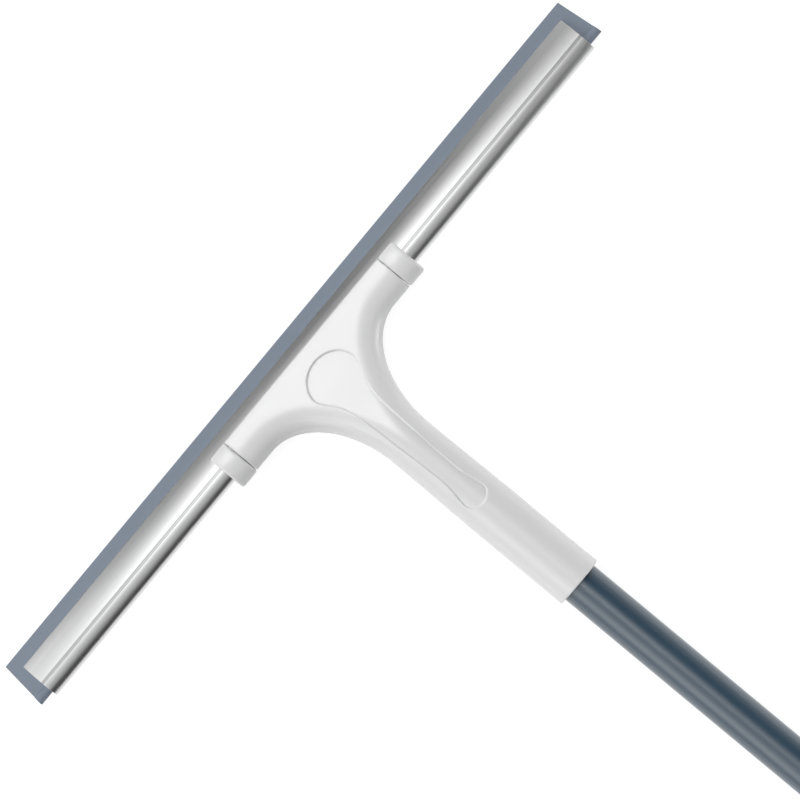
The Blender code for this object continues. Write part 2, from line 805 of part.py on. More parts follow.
def make_head_housing(head, tools):
    material = new_material("housing_plastic", WHITE_PLASTIC, 0.30)
    housing = head_form("head_housing", 0.0, material, head)
    combine(housing, tools["tongues"], "UNION")
    combine(housing, tools["cavity"])
    combine(housing, tools["cover_space"])
    combine(housing, tools["bosses"], "UNION")
    for name in ("channel_space", "socket_space", "lip_pocket", "screw_spaces", "recess"):
        combine(housing, tools[name])


def make_back_cover(head, tools):
    material = new_material("cover_plastic", WHITE_PLASTIC, 0.32)
    cover = head_form("back_cover", 0.0, material, head)
    combine(cover, tools["tongues"], "UNION")
    combine(cover, tools["cover_reach"], "INTERSECT")
    combine(cover, tools["cavity"])
    combine(cover, tools["towers"], "UNION")
    for name in ("channel_space", "socket_space", "lip_pocket", "screw_spaces"):
        combine(cover, tools[name])


def make_collar(name, side, blade_frame, tools):
    material = new_material(name + "_plastic", WHITE_PLASTIC, 0.28)
    mesh = bar_mesh(name, wrap_outline(ARM_FRONT, -COLLAR_PROUD), COLLAR_WIDTH)
    middle = side * (COLLAR_START + COLLAR_WIDTH / 2)
    matrix = blade_frame.matrix_world @ Matrix.Translation((middle, 0, 0))
    collar = new_object(name, mesh, matrix, blade_frame, material)
    bevel = collar.modifiers.new("rounded edges", "BEVEL")
    bevel.width = COLLAR_EDGE
    bevel.segments = 2
    bevel.limit_method = "ANGLE"
    bevel.angle_limit = COLLAR_EDGE_ANGLE
    combine(collar, tools["tongue_space"])
    combine(collar, tools["channel_space"])


def screw_mesh():
    """A pan-head screw pointing up, its head below with a cross recess."""
    under = -SCREW_SEAT - GAP
    bottom = under - SCREW_HEAD_HEIGHT
    shoulder = SCREW_SHANK_RADIUS / 2
    profile = [
        (0, SCREW_REACH),
        (shoulder, SCREW_REACH),
        (SCREW_SHANK_RADIUS, SCREW_REACH - shoulder),
        (SCREW_SHANK_RADIUS, under),
        (SCREW_HEAD_RADIUS, under),
        (SCREW_HEAD_RADIUS, bottom + SCREW_HEAD_HEIGHT / 3),
        (SCREW_CROWN_RADIUS, bottom),
        (0, bottom),
    ]
    long = SCREW_CROSS / 2
    wide = SCREW_CROSS_WIDTH / 2
    corners = [Vector(corner) for corner in ((wide, long), (-wide, long), (-wide, wide))]
    cross = []
    for angle in arc(4, 0, 360)[:-1]:
        cross += [tuple(Matrix.Rotation(angle, 2) @ corner) for corner in corners]
    screw = turned("screw_blank", profile, Matrix.Identity(4), steps=SMALL_STEPS, closed=False)
    slot = outline_mesh("screw_cross", cross, 2 * SCREW_CROSS_DEPTH)
    cutter = new_object("screw_cross", slot, Matrix.Translation((0, 0, bottom)))
    combine(screw, cutter)
    mesh = evaluated_mesh(screw)
    bpy.data.objects.remove(screw, do_unlink=True)
    bpy.data.objects.remove(cutter, do_unlink=True)
    return mesh


def make_screws(head):
    mesh = screw_mesh()
    mesh.materials.clear()
    mesh.materials.append(new_material("zinc_steel", (0.62, 0.62, 0.60), 0.35, 1.0))
    for name, x, v in SCREW_PLACES:
        screw = bpy.data.objects.new(name, mesh)
        PARTS.objects.link(screw)
        attach(screw, spine_place(x, v), head)


def thread_ridge(name, v_end, turns, grow):
    """A right-hand helical ridge that starts at v_end and climbs towards the blade."""
    root = THREAD_ROOT - THREAD_HEIGHT / 2
    root_half = THREAD_ROOT_WIDTH / 2 + grow
    crest_half = THREAD_CREST_WIDTH / 2 + grow
    spread = root_half + (root_half - crest_half) / 2
    crest = THREAD_CREST + grow
    profile = [(crest, crest_half), (crest, -crest_half), (root, -spread), (root, spread)]
    guide = new_object(name + "_guide", profile_mesh(name + "_guide", profile, True), Matrix.Identity(4))
    screw = guide.modifiers.new("helix", "SCREW")
    screw.axis = "Z"
    screw.angle = math.tau
    screw.screw_offset = THREAD_PITCH
    screw.iterations = turns
    screw.steps = THREAD_STEPS
    screw.render_steps = THREAD_STEPS
    mesh = evaluated_mesh(guide)
    bpy.data.objects.remove(guide, do_unlink=True)
    bm = bmesh.new()
    bm.from_mesh(mesh)
    bmesh.ops.remove_doubles(bm, verts=bm.verts, dist=MERGE)
    bmesh.ops.holes_fill(bm, edges=bm.edges, sides=len(profile))
    bmesh.ops.recalc_face_normals(bm, faces=bm.faces)
    matrix = axis_place(v_end) @ Matrix.Rotation(THREAD_PHASE, 4, "Z")
    return new_object(name, finished(bm, name), matrix)


def make_socket_insert(head):
    material = new_material("insert_plastic", (0.10, 0.11, 0.12), 0.45)
    body = disc(INSERT_RADIUS, LIP_MIDDLE, INSERT_BACK)
    insert = pole_turned("socket_insert", body, SOCKET_END, head, material, closed=False)
    combine(insert, hexagon("insert_lip", 0.0), "UNION")
    bore = disc(INSERT_BORE, INSERT_FRONT - SHELL_WALL, INSERT_BACK + SHELL_WALL)
    combine(insert, pole_turned("insert_bore", bore, SOCKET_END, closed=False))
    turns = math.ceil(INSERT_LENGTH / THREAD_PITCH) + 3
    combine(insert, thread_ridge("insert_thread", PLUG_FRONT + THREAD_PITCH, turns, GAP))


# Parts of the pole


def make_pole_washer(washer_frame):
    material = new_material("washer_rubber", (0.03, 0.03, 0.03), 0.7)
    profile = ring(THREAD_CREST + GAP, UPPER_TUBE_RADIUS, WASHER_FRONT, WASHER_FRONT + WASHER_THICKNESS)
    pole_turned("pole_washer", profile, SOCKET_END, washer_frame, material)


def make_pole_plug(upper_frame, pin_hole):
    material = new_material("plug_plastic", (0.10, 0.11, 0.12), 0.45)
    flange_back = PLUG_FRONT + PLUG_FLANGE
    spigot_end = flange_back + PLUG_SPIGOT
    profile = [
        (0, THREAD_START),
        (THREAD_ROOT, THREAD_START),
        (THREAD_ROOT, PLUG_FRONT),
        (UPPER_TUBE_RADIUS, PLUG_FRONT),
        (UPPER_TUBE_RADIUS, flange_back),
        (SPIGOT_RADIUS, flange_back),
        (SPIGOT_RADIUS, spigot_end),
        (0, spigot_end),
    ]
    plug = pole_turned("pole_plug", profile, SOCKET_END, upper_frame, material, closed=False)
    turns = math.floor((PLUG_FRONT - THREAD_START - THREAD_ROOT_WIDTH) / THREAD_PITCH)
    combine(plug, thread_ridge("plug_thread", PLUG_FRONT, turns, 0.0), "UNION")
    combine(plug, pin_hole)


def make_upper_tube(upper_frame, pin_hole):
    """The coated tube, with a rolled bead that stops it at the ferrule's web."""
    material = new_material("pole_coating", BLUE_GREY, 0.35)
    stop = TUBE_END - STOP_SETBACK
    stop_radius = LOWER_TUBE_BORE - GAP
    profile = [
        (UPPER_TUBE_RADIUS, TUBE_START),
        (UPPER_TUBE_RADIUS, stop - STOP_LENGTH / 2),
        (stop_radius, stop - STOP_LENGTH / 4),
        (stop_radius, stop + STOP_LENGTH / 4),
        (UPPER_TUBE_RADIUS, stop + STOP_LENGTH / 2),
        (UPPER_TUBE_RADIUS, TUBE_END),
        (UPPER_TUBE_BORE, TUBE_END),
        (UPPER_TUBE_BORE, TUBE_START),
    ]
    tube = pole_turned("upper_tube", profile, SOCKET_END, upper_frame, material)
    combine(tube, pin_hole)


def make_guide_bush(upper_frame):
    material = new_material("bush_plastic", (0.60, 0.60, 0.58), 0.5)
    outer = LOWER_TUBE_BORE - GAP
    bore = SPIGOT_RADIUS - BUSH_WALL
    profile = [
        (SPIGOT_RADIUS, TUBE_END - BUSH_SPIGOT),
        (SPIGOT_RADIUS, TUBE_END + GAP),
        (outer, TUBE_END + GAP),
        (outer, TUBE_END + GAP + BUSH_HEAD),
        (bore, TUBE_END + GAP + BUSH_HEAD),
        (bore, TUBE_END - BUSH_SPIGOT),
    ]
    pole_turned("guide_bush", profile, SOCKET_END, upper_frame, material)


def make_lower_tube(lower_frame, pin_hole):
    material = new_material("lower_coating", BLUE_GREY, 0.35)
    profile = ring(LOWER_TUBE_BORE, LOWER_TUBE_RADIUS, LOWER_START, LOWER_END)
    tube = pole_turned("lower_tube", profile, LOCK_FRONT, lower_frame, material)
    combine(tube, pin_hole)


def snap_stretch():
    """Where the ferrule's snap ring starts and ends."""
    end = LOCK_BACK - SNAP_SETBACK
    return end - SNAP_LENGTH, end


def make_lock_ferrule(lower_frame):
    material = new_material("ferrule_plastic", (0.09, 0.10, 0.11), 0.45)
    finger_bore = UPPER_TUBE_RADIUS + GAP
    web_bore = UPPER_TUBE_RADIUS + WEB_GAP
    flange = LOCK_RADIUS - FERRULE_FLANGE_INSET
    snap_start, snap_end = snap_stretch()
    profile = [
        (FERRULE_RADIUS - FERRULE_WALL, FERRULE_FRONT),
        (FERRULE_RADIUS, FERRULE_FRONT + FINGER_LENGTH / 2),
        (FERRULE_RADIUS, snap_start),
        (FERRULE_RADIUS + SNAP_HEIGHT, snap_start + SNAP_HEIGHT),
        (FERRULE_RADIUS + SNAP_HEIGHT, snap_end),
        (FERRULE_RADIUS, snap_end),
        (FERRULE_RADIUS, LOCK_BACK + GAP),
        (flange, LOCK_BACK + GAP),
        (flange, FERRULE_BACK),
        (FERRULE_BORE, FERRULE_BACK),
        (FERRULE_BORE, LOWER_START - GAP),
        (web_bore, LOWER_START - GAP),
        (web_bore, WEB_FRONT),
        (finger_bore, WEB_FRONT),
        (finger_bore, FERRULE_FRONT),
    ]
    ferrule = pole_turned("lock_ferrule", profile, LOCK_FRONT, lower_frame, material)
    bm = bmesh.new()
    for index in range(FINGER_COUNT // 2):
        turn = Matrix.Rotation(math.tau * index / FINGER_COUNT, 4, "Z")
        size = Matrix.Diagonal((3 * FERRULE_RADIUS, FINGER_SLIT, 2 * FINGER_LENGTH, 1))
        bmesh.ops.create_cube(bm, size=1.0, matrix=turn @ size)
    slits = new_object("finger_slits", finished(bm, "finger_slits"), axis_place(FERRULE_FRONT))
    combine(ferrule, slits)


def make_lock_collar(lower_frame):
    material = new_material("lock_plastic", WHITE_PLASTIC, 0.35)
    snap_start, snap_end = snap_stretch()
    groove = LOCK_BORE + SNAP_HEIGHT
    edge = LOCK_WALL / 2
    profile = [
        (LOCK_RADIUS - edge, LOCK_FRONT),
        (LOCK_RADIUS, LOCK_FRONT + edge),
        (LOCK_RADIUS, LOCK_BACK - edge / 2),
        (LOCK_RADIUS - edge / 2, LOCK_BACK),
        (LOCK_BORE, LOCK_BACK),
        (LOCK_BORE, snap_end + GAP),
        (groove, snap_end + GAP),
        (groove, snap_start - GAP),
        (LOCK_BORE, snap_start - GAP),
        (LOCK_BORE, LOCK_FRONT + LOCK_LIP),
        (UPPER_TUBE_RADIUS + LOOSE_GAP, LOCK_FRONT + LOCK_LIP),
        (UPPER_TUBE_RADIUS + LOOSE_GAP, LOCK_FRONT),
    ]
    collar = pole_turned("lock_collar", profile, LOCK_FRONT, lower_frame, material)
    bm = bmesh.new()
    for index in range(LOCK_FLUTES):
        turn = Matrix.Rotation(math.tau * (index + 0.5) / LOCK_FLUTES, 4, "Z")
        out = Matrix.Translation((LOCK_RADIUS + FLUTE_RADIUS - FLUTE_DEPTH, 0, -LOCK_LENGTH / 2))
        bmesh.ops.create_cone(
            bm,
            cap_ends=True,
            segments=FLUTE_STEPS,
            radius1=FLUTE_RADIUS,
            radius2=FLUTE_RADIUS,
            depth=FLUTE_LENGTH,
            matrix=turn @ out,
        )
    flutes = new_object("flutes", finished(bm, "flutes"), axis_place(LOCK_FRONT))
    combine(collar, flutes)


def make_grip_sleeve(lower_frame):
    material = new_material("grip_rubber", (0.045, 0.075, 0.105), 0.7)
    bore = LOWER_TUBE_RADIUS + GAP
    middle = (GRIP_START + GRIP_END) / 2
    profile = [(GRIP_RADIUS - GRIP_END_ROUND, GRIP_START), (GRIP_RADIUS, GRIP_START + GRIP_END_ROUND)]
    for index in range(GRIP_RINGS):
        at = middle + (index - (GRIP_RINGS - 1) / 2) * GRIP_RING_PITCH
        half = GRIP_RING_WIDTH / 2
        profile += [(GRIP_RADIUS, at - half), (GRIP_RADIUS - GRIP_RING_DEPTH, at), (GRIP_RADIUS, at + half)]
    profile += [(GRIP_RADIUS, GRIP_END - GRIP_END_ROUND / 2), (GRIP_RADIUS - GRIP_END_ROUND / 2, GRIP_END)]
    profile += [(bore, GRIP_END), (bore, GRIP_START)]
    pole_turned("grip_sleeve", profile, LOCK_FRONT, lower_frame, material)


def make_end_cap(lower_frame, pin_hole):
    material = new_material("cap_plastic", WHITE_PLASTIC, 0.35)
    plug = LOWER_TUBE_BORE - GAP
    flange = GRIP_RADIUS - CAP_FLANGE_INSET
    plug_start = CAP_FRONT - CAP_PLUG
    dome_start = CAP_FRONT + CAP_FLANGE
    profile = [(plug, plug_start), (plug, CAP_FRONT), (flange, CAP_FRONT)]
    dome_end_radius = TAB_THICKNESS
    for angle in arc(ARC_STEPS, 0, 90):
        radius = dome_end_radius + (flange - dome_end_radius) * math.cos(angle)
        profile.append((radius, dome_start + CAP_DOME * math.sin(angle)))
    profile += [(0, dome_start + CAP_DOME), (0, CAP_FRONT)]
    profile += [(plug - CAP_PLUG_WALL, CAP_FRONT), (plug - CAP_PLUG_WALL, plug_start)]
    cap = pole_turned("end_cap", profile, LOCK_FRONT, lower_frame, material)
    half = TAB_WIDTH / 2
    eye_at = CAP_END - half
    tab_start = eye_at - (CAP_FRONT + CAP_FLANGE / 2)
    tab = [(half, tab_start), (-half, tab_start)]
    tab += [(half * math.cos(angle), half * math.sin(angle)) for angle in arc(2 * ARC_STEPS, 180, 360)]
    eye_place = spine_place(0, eye_at)
    combine(cap, new_object("tab", outline_mesh("tab", tab, TAB_THICKNESS), eye_place), "UNION")
    bm = bmesh.new()
    bmesh.ops.create_cone(
        bm,
        cap_ends=True,
        segments=ROUND_STEPS,
        radius1=EYE_RADIUS,
        radius2=EYE_RADIUS,
        depth=3 * TAB_THICKNESS,
    )
    combine(cap, new_object("hanging_eye", finished(bm, "hanging_eye"), eye_place))
    combine(cap, pin_hole)


def main():
    head = empty_at("head", spine_place(0, BEND_END))
    blade_frame = empty_at("blade_frame", spine_place(0, BEND_START), head)
    washer = empty_at("washer_travel", spine_place(0, WASHER_FRONT), head)
    upper = empty_at("pole_unscrew", spine_place(0, TUBE_START), washer)
    lower = empty_at("pole_extension", spine_place(0, LOWER_START), upper)
    steel = new_material("pin_steel", (0.60, 0.60, 0.60), 0.3, 1.0)

    tools = make_head_tools(blade_frame)
    make_rubber_blade(blade_frame)
    make_blade_channel(blade_frame)
    make_head_housing(head, tools)
    make_back_cover(head, tools)
    make_collar("left_collar", -1, blade_frame, tools)
    make_collar("right_collar", 1, blade_frame, tools)
    make_screws(head)
    make_socket_insert(head)

    plug_pin_v = TUBE_START + PLUG_PIN_AT
    plug_hole = cross_pin("plug_pin_hole", plug_pin_v, 2 * UPPER_TUBE_RADIUS, PIN_RADIUS + GAP)
    cross_pin("plug_pin", plug_pin_v, UPPER_TUBE_RADIUS - GAP, PIN_RADIUS, upper, steel)
    make_pole_washer(washer)
    make_pole_plug(upper, plug_hole)
    make_upper_tube(upper, plug_hole)
    make_guide_bush(upper)

    cap_pin_v = LOWER_END - CAP_PIN_AT
    cap_hole = cross_pin("cap_pin_hole", cap_pin_v, 2 * LOWER_TUBE_RADIUS, PIN_RADIUS + GAP)
    cross_pin("cap_pin", cap_pin_v, LOWER_TUBE_RADIUS - GAP, PIN_RADIUS, lower, steel)
    make_lower_tube(lower, cap_hole)
    make_lock_ferrule(lower)
    make_lock_collar(lower)
    make_grip_sleeve(lower)
    make_end_cap(lower, cap_hole)
    mark_creases()


main()
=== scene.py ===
"""Window squeegee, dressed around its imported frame: skins, blade, pole, finishes, floor and light.

Metres. X runs along the blade, +Y towards the blade and +Z out of the front face. On the head, v is the
way from the blade's tip down the bent middle line, and n is the height above that line.
"""

import math

import bmesh
import bpy
import numpy as np
from mathutils import Matrix, Vector
from mathutils.geometry import delaunay_2d_cdt


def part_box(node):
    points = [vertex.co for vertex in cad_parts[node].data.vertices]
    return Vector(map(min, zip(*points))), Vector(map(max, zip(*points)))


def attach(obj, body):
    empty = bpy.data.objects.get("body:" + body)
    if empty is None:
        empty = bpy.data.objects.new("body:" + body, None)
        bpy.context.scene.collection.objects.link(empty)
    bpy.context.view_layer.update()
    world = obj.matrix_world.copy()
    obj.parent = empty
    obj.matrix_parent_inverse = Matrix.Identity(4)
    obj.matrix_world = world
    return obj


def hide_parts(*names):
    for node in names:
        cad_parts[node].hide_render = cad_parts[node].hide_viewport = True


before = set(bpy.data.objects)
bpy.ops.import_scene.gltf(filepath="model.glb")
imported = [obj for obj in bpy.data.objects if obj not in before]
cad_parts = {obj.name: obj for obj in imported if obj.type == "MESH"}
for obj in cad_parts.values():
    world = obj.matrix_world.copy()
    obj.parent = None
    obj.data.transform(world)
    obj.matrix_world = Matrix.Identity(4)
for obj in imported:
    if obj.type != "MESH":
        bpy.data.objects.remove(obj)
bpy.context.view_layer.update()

# Fits and walls
GAP = 0.0003
SHELL_WALL = 0.0022
TUBE_WALL = 0.0009
MERGE = 0.000002
NEAR_ZERO = 0.000001

# Blade and channel
BLADE_LENGTH = 0.380
BLADE_SKEW = 0.0023
LIP_LENGTH = 0.0064
RUBBER_THICKNESS = 0.0020
BEAD_RADIUS = 0.0024
CHANNEL_DEPTH = 0.0191
CHANNEL_THICKNESS = 0.0100
CHANNEL_NOSE = 0.0052
CHANNEL_CREST = 0.0119
CHANNEL_BACK_WALL = 0.0020
LINE_WIDTH = 0.0014
LINE_DEPTH = 0.0001
LINE_WALL = 0.00025
BAR_EDGE = 0.00012

# Head
HEAD_SETBACK = 0.0061
ARM_WALL = 0.0026
ARM_BACK_WALL = 0.0042
BEND_ANGLE = math.radians(9.9)
BEND_SETBACK = 0.0028
BEND_LENGTH = 0.0420
FILLET_ACROSS = 0.0300
WAIST = 0.00045
WAIST_RUN = 0.0520
NECK_LENGTH = 0.0956
COVER_LENGTH = 0.1267
COLLAR_PROUD = 0.0004
COLLAR_EDGE = 0.0012
LIP_EDGE = 0.0004
LIP_CORNER = 0.3
FRONT_EDGE = 0.0005
ARM_EDGE = 0.0003
PARTING_EDGE = 0.0002
PARTING_RUN = 0.0006
PARTING_FADE = math.radians(12)
MOUTH_EDGE = 0.0004

# Thumb recess, its stem as distances from the blade's tip and half-widths
RECESS_DEPTH = 0.0008
RECESS_WALL_WIDTH = 0.0010
RECESS_HEAD_LENGTH = 0.0116
RECESS_END_LENGTH = 0.0052
RECESS_END_SLOPE = 0.06
RECESS_STEM = (
    (0.0320, 0.0132),
    (0.0355, 0.0120),
    (0.0417, 0.0084),
    (0.0475, 0.0068),
    (0.0585, 0.0056),
    (0.0708, 0.0052),
    (0.0880, 0.0045),
    (0.1000, 0.0046),
    (0.1104, 0.0062),
)

# Cover screws: places, the turn of each cross in degrees, and sizes
SCREW_SPOTS = ((-0.0125, 0.0355), (0.0125, 0.0355), (0.0, 0.0630), (0.0, 0.0960))
SCREW_TURNS = (10, 55, 30, 75)
RIGHT_WELLS = [spot for spot in SCREW_SPOTS if spot[0] >= 0]
SCREW_HEAD_RADIUS = 0.0027
SCREW_HEAD_HEIGHT = 0.0020
SCREW_RIM_SHARE = 0.45
SCREW_CROWN_RADIUS = 0.0019
SCREW_CROWN_ROUND = 0.0008
SCREW_RIM_ROUND = 0.0006
SCREW_TIP_ROUND = 0.0004
SCREW_EDGE = 0.0001
SCREW_SHANK_RADIUS = 0.0014
SCREW_SEAT = 0.0045
SCREW_REACH = 0.0050
SCREW_CROSS = 0.0034
SCREW_CROSS_WIDTH = 0.0008
SCREW_CROSS_DEPTH = 0.0010
SCREW_CROSS_FLOOR = 0.55
SCREW_CROSS_MOUTH = 1.15
WELL_RADIUS = SCREW_HEAD_RADIUS + GAP
WELL_RINGS = (0.0, 0.00015, 0.0006)

# Tubes, with the rolled stop bead of the upper one
TUBE_EDGE = 0.00025
STOP_AT = 0.0800
STOP_HALF = 0.0020
STOP_ROUND = 0.0010

# Lock and ferrule
LOCK_EDGE = 0.0002
LOCK_BACK_ROUND = 0.0009
LOCK_FRONT_ROUND = 0.0011
LOCK_MOUTH_ROUND = 0.0005
LOCK_LIP = 0.0025
LOCK_PLAIN_END = 0.0012
SNAP_AT = 0.0066
SNAP_LENGTH = 0.0033
SNAP_DEPTH = 0.0005
FLUTES = 12
FLUTE_DEPTH = 0.0007
FLUTE_SHARE = 0.17
FLUTE_MARGIN = 0.0045
FLUTE_FADE = 0.0022
FLUTE_SKIN = 0.0001
FERRULE_WALL = 0.0014
FERRULE_TAPER = 0.0050
FLANGE_LENGTH = 0.0040
FLANGE_BORE_ROUND = 0.0003
FLANGE_BACK_ROUND = 0.0008
FLANGE_FRONT_ROUND = 0.0004
WEB_AT = 0.0100
WEB_LENGTH = 0.0024
WEB_GAP = 0.0002
SLIT_LENGTH = 0.0200
SLIT_WIDTH = 0.0012

# Grip
GROOVES = 7
GROOVE_PITCH = 0.0160
GROOVE_HALF = 0.0015
GROOVE_DEPTH = 0.0009
GROOVE_ROUND = 0.0009
GRIP_EDGE = 0.0003
GRIP_LIP_ROUND = 0.0006
GRIP_ROUND = 0.0008
GRIP_CHAMFER = 0.0010
GRIP_TAPER = 0.0020
GRIP_TAPER_ROUND = 0.0015

# End cap and its hanging tab
CAP_EDGE = 0.0002
CAP_ROUND = 0.0006
CAP_STEP = 0.0010
CAP_RIM = 0.0030
CAP_DOME = 0.0090
CAP_TOP_RADIUS = 0.0070
CAP_PLUG_WALL = 0.0020
TAB_HALF = 0.0105
TAB_THICKNESS = 0.0070
TAB_OVERLAP = 0.0015
TAB_EDGE = 0.0012
EYE_RADIUS = 0.0045

# Floor, as shares of white, and its half-width
FLOOR_PAINT = 0.80
FLOOR_SHADOW = 0.30
FLOOR_GLOW = 0.86
FLOOR_HALF = 40.0

# Soft panels of the studio: degrees from straight up, bearing from +X, half-width and strength
PANELS = (
    (20, 90, 15, 3.60),
    (84, 315, 30, 3.10),
    (84, 45, 30, 2.40),
    (66, 135, 30, 2.40),
    (45, 180, 30, 1.30),
    (22, 90, 30, 1.15),
    (66, 180, 30, 0.95),
    (66, 45, 30, 0.60),
    (22, 270, 30, 0.55),
    (84, 0, 30, 0.45),
    (0, 0, 30, 0.25),
)

# Camera
BLADE_BEARING = math.radians(50.27)
VIEW_CENTRE = Vector((0.0112, 0.3859, 0.012))
VIEW_WIDTH = 0.3512
VIEW_DISTANCE = 2.4
VIEW_END = 100
SENSOR = 36.0


def box_of(node):
    """A solid's lowest and highest corner, and half its width."""
    low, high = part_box(node)
    return low, high, (high.x - low.x) / 2


# Places that the frame gives
PLUG_LOW, PLUG_HIGH, TUBE_RADIUS = box_of("pole_plug")
LOWER_LOW, _, LOWER_RADIUS = box_of("lower_tube")
COLLAR_LOW, COLLAR_HIGH, COLLAR_HALF = box_of("right_collar")
AXIS_Z = (PLUG_HIGH.z + PLUG_LOW.z) / 2
SOCKET_RADIUS = TUBE_RADIUS + GAP + SHELL_WALL
ARM_LENGTH = COLLAR_LOW.x - GAP
LOWER_FIT = LOWER_RADIUS + GAP
FERRULE_RADIUS = LOWER_FIT + FERRULE_WALL

# Sections and places along the head, worked out from the sizes above
CHANNEL_FRONT = LIP_LENGTH
CHANNEL_BACK = CHANNEL_FRONT + CHANNEL_DEPTH
CHANNEL_TOP = CHANNEL_THICKNESS / 2
CREST_AT = CHANNEL_FRONT + CHANNEL_CREST
BEAD_AT = CHANNEL_BACK - CHANNEL_BACK_WALL - GAP - BEAD_RADIUS
ARM_FRONT = CHANNEL_FRONT + HEAD_SETBACK
ARM_BACK = CHANNEL_BACK + GAP + ARM_BACK_WALL
ARM_HEIGHT = CHANNEL_TOP + GAP + ARM_WALL
WAIST_HALF = SOCKET_RADIUS - WAIST
BEND_START = ARM_BACK + BEND_SETBACK
BEND_END = BEND_START + BEND_LENGTH
BEND_RADIUS = BEND_LENGTH / BEND_ANGLE
BEND_END_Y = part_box("head_housing")[0].y + NECK_LENGTH
SOCKET_END = BEND_END + NECK_LENGTH
COVER_END = COVER_LENGTH - GAP

# How finely things are drawn
EDGE_SHARES = (0.0, 0.04, 0.15, 0.35, 0.65, 1.0)
RIM_STEP = 0.0009
RIM_FINE_STEP = 0.00008
RIM_BATCH = 2000
SHOULDER_DEPTH = 0.0048
SHOULDER_ROWS = 14
SHOULDER_FIRST_SHARE = 0.02
FILL_STEP = 0.0016
FILL_ROW_STEP = 0.87 * FILL_STEP
MOUTH_STEP = 0.75 * FILL_STEP
SHOULDER_MARGIN = 0.6 * FILL_STEP
RECESS_MARGIN = 0.4 * FILL_STEP
WELL_MARGIN = 0.5 * FILL_STEP
RECESS_STEP = 0.0006
RECESS_TOP_STEPS = 40
RECESS_END_STEPS = 20
RECESS_WALL_ROWS = 8
LOCK_ROW_STEP = 0.0006
LOCK_STEPS = 288
SCREW_STEPS = 40
TURN_STEPS = 96
RING_STEPS = 48
ROUND_STEPS = 32
SOCKET_STEPS = 28
CREST_STEPS = 24
CREASE = math.radians(32)
CORNER_SHARE = 0.45
STRAIGHT = 0.02


# Shapes of lines and edges


def smooth(share):
    """0 up to 0, 1 from 1 on, and a smooth rise between."""
    share = np.clip(share, 0, 1)
    return share * share * (3 - 2 * share)


def edge_drop(distance, radius):
    """How far a rounded edge lies below the flat face, this far in from the edge."""
    inner = np.clip(radius - distance, 0, radius)
    return radius - np.sqrt(radius * radius - inner * inner)


def arc(steps, first, last):
    """Angles from first to last, in degrees, as radians."""
    return [math.radians(first + (last - first) * step / steps) for step in range(steps + 1)]


def steps_between(start, end, step):
    """Evenly spaced values from start to end, about a step apart."""
    return np.linspace(start, end, max(2, int(round(abs(end - start) / step)) + 1))


def rounded(points, radius=0.0003, closed=True, steps=4):
    """A line of (across, up[, own radius]) with its corners rounded."""
    result = []
    count = len(points)
    for index, point in enumerate(points):
        corner = Vector(point[:2])
        if not closed and index in (0, count - 1):
            result.append(tuple(corner))
            continue
        before = Vector(points[index - 1][:2]) - corner
        after = Vector(points[(index + 1) % count][:2]) - corner
        own = point[2] if len(point) > 2 else radius
        reach = min(own, CORNER_SHARE * before.length, CORNER_SHARE * after.length)
        if reach < MERGE or abs(before.angle(after) - math.pi) < STRAIGHT:
            result.append(tuple(corner))
            continue
        start = corner + before.normalized() * reach
        end = corner + after.normalized() * reach
        for step in range(steps + 1):
            share = step / steps
            one = start.lerp(corner, share)
            two = corner.lerp(end, share)
            result.append(tuple(one.lerp(two, share)))
    return result


# The head's bent middle line


def spine_turn(v):
    """How far the head has turned down from the pole's direction."""
    return np.clip((BEND_END - v) / BEND_RADIUS, 0, BEND_ANGLE)


def spine_points(x, v, n):
    """World points for places on the head."""
    turn = spine_turn(v)
    along = np.maximum(BEND_START - v, 0)
    y = BEND_END_Y + BEND_RADIUS * np.sin(turn) + along * np.cos(turn) - np.maximum(v - BEND_END, 0)
    fall = BEND_RADIUS * (1 - np.cos(turn)) + along * np.sin(turn)
    return np.stack((x, y + n * np.sin(turn), AXIS_Z - fall + n * np.cos(turn)), axis=-1)


def spine_place(x, v):
    """Matrix with its origin on the middle line, Y towards the blade and Z square to the line."""
    point = spine_points(np.array(x), np.array(v), np.array(0.0))
    return Matrix.Translation(point) @ Matrix.Rotation(-float(spine_turn(v)), 4, "X")


BLADE_PLACE = spine_place(0.0, BEND_START)


# Making objects


def new_object(name, mesh):
    obj = bpy.data.objects.new(name, mesh)
    bpy.context.scene.collection.objects.link(obj)
    return obj


def evaluated_mesh(obj):
    """The object's shape with its modifiers applied. The object is removed."""
    bpy.context.view_layer.update()
    mesh = bpy.data.meshes.new_from_object(obj.evaluated_get(bpy.context.evaluated_depsgraph_get()))
    bpy.data.objects.remove(obj, do_unlink=True)
    return mesh


def finished(bm, name):
    mesh = bpy.data.meshes.new(name)
    bm.to_mesh(mesh)
    bm.free()
    return mesh


def piece(name, mesh, material, body, slot, *nodes):
    """A finished piece: smooth, riding on its body, standing for its nodes."""
    mesh.materials.clear()
    mesh.materials.append(material)
    mesh.shade_smooth()
    mesh.set_sharp_from_angle(angle=CREASE)
    obj = new_object(name, mesh)
    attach(obj, body)
    if nodes:
        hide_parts(*nodes)
    return obj


def bridge(bm, rows, closed=False):
    """Faces between rows of corners, each row joined to the next."""
    count = len(rows[0])
    for one, two in zip(rows, rows[1:]):
        for i in range(count if closed else count - 1):
            j = (i + 1) % count
            bm.faces.new((one[i], one[j], two[j], two[i]))


def cut(mesh, tool, operation="DIFFERENCE"):
    """One closed mesh cut by, or joined with, another."""
    base = new_object("base", mesh)
    other = new_object("tool", tool)
    boolean = base.modifiers.new("cut", "BOOLEAN")
    boolean.operation = operation
    boolean.object = other
    boolean.solver = "MANIFOLD"
    result = evaluated_mesh(base)
    bpy.data.objects.remove(other, do_unlink=True)
    return result


# Node trees for the finishes


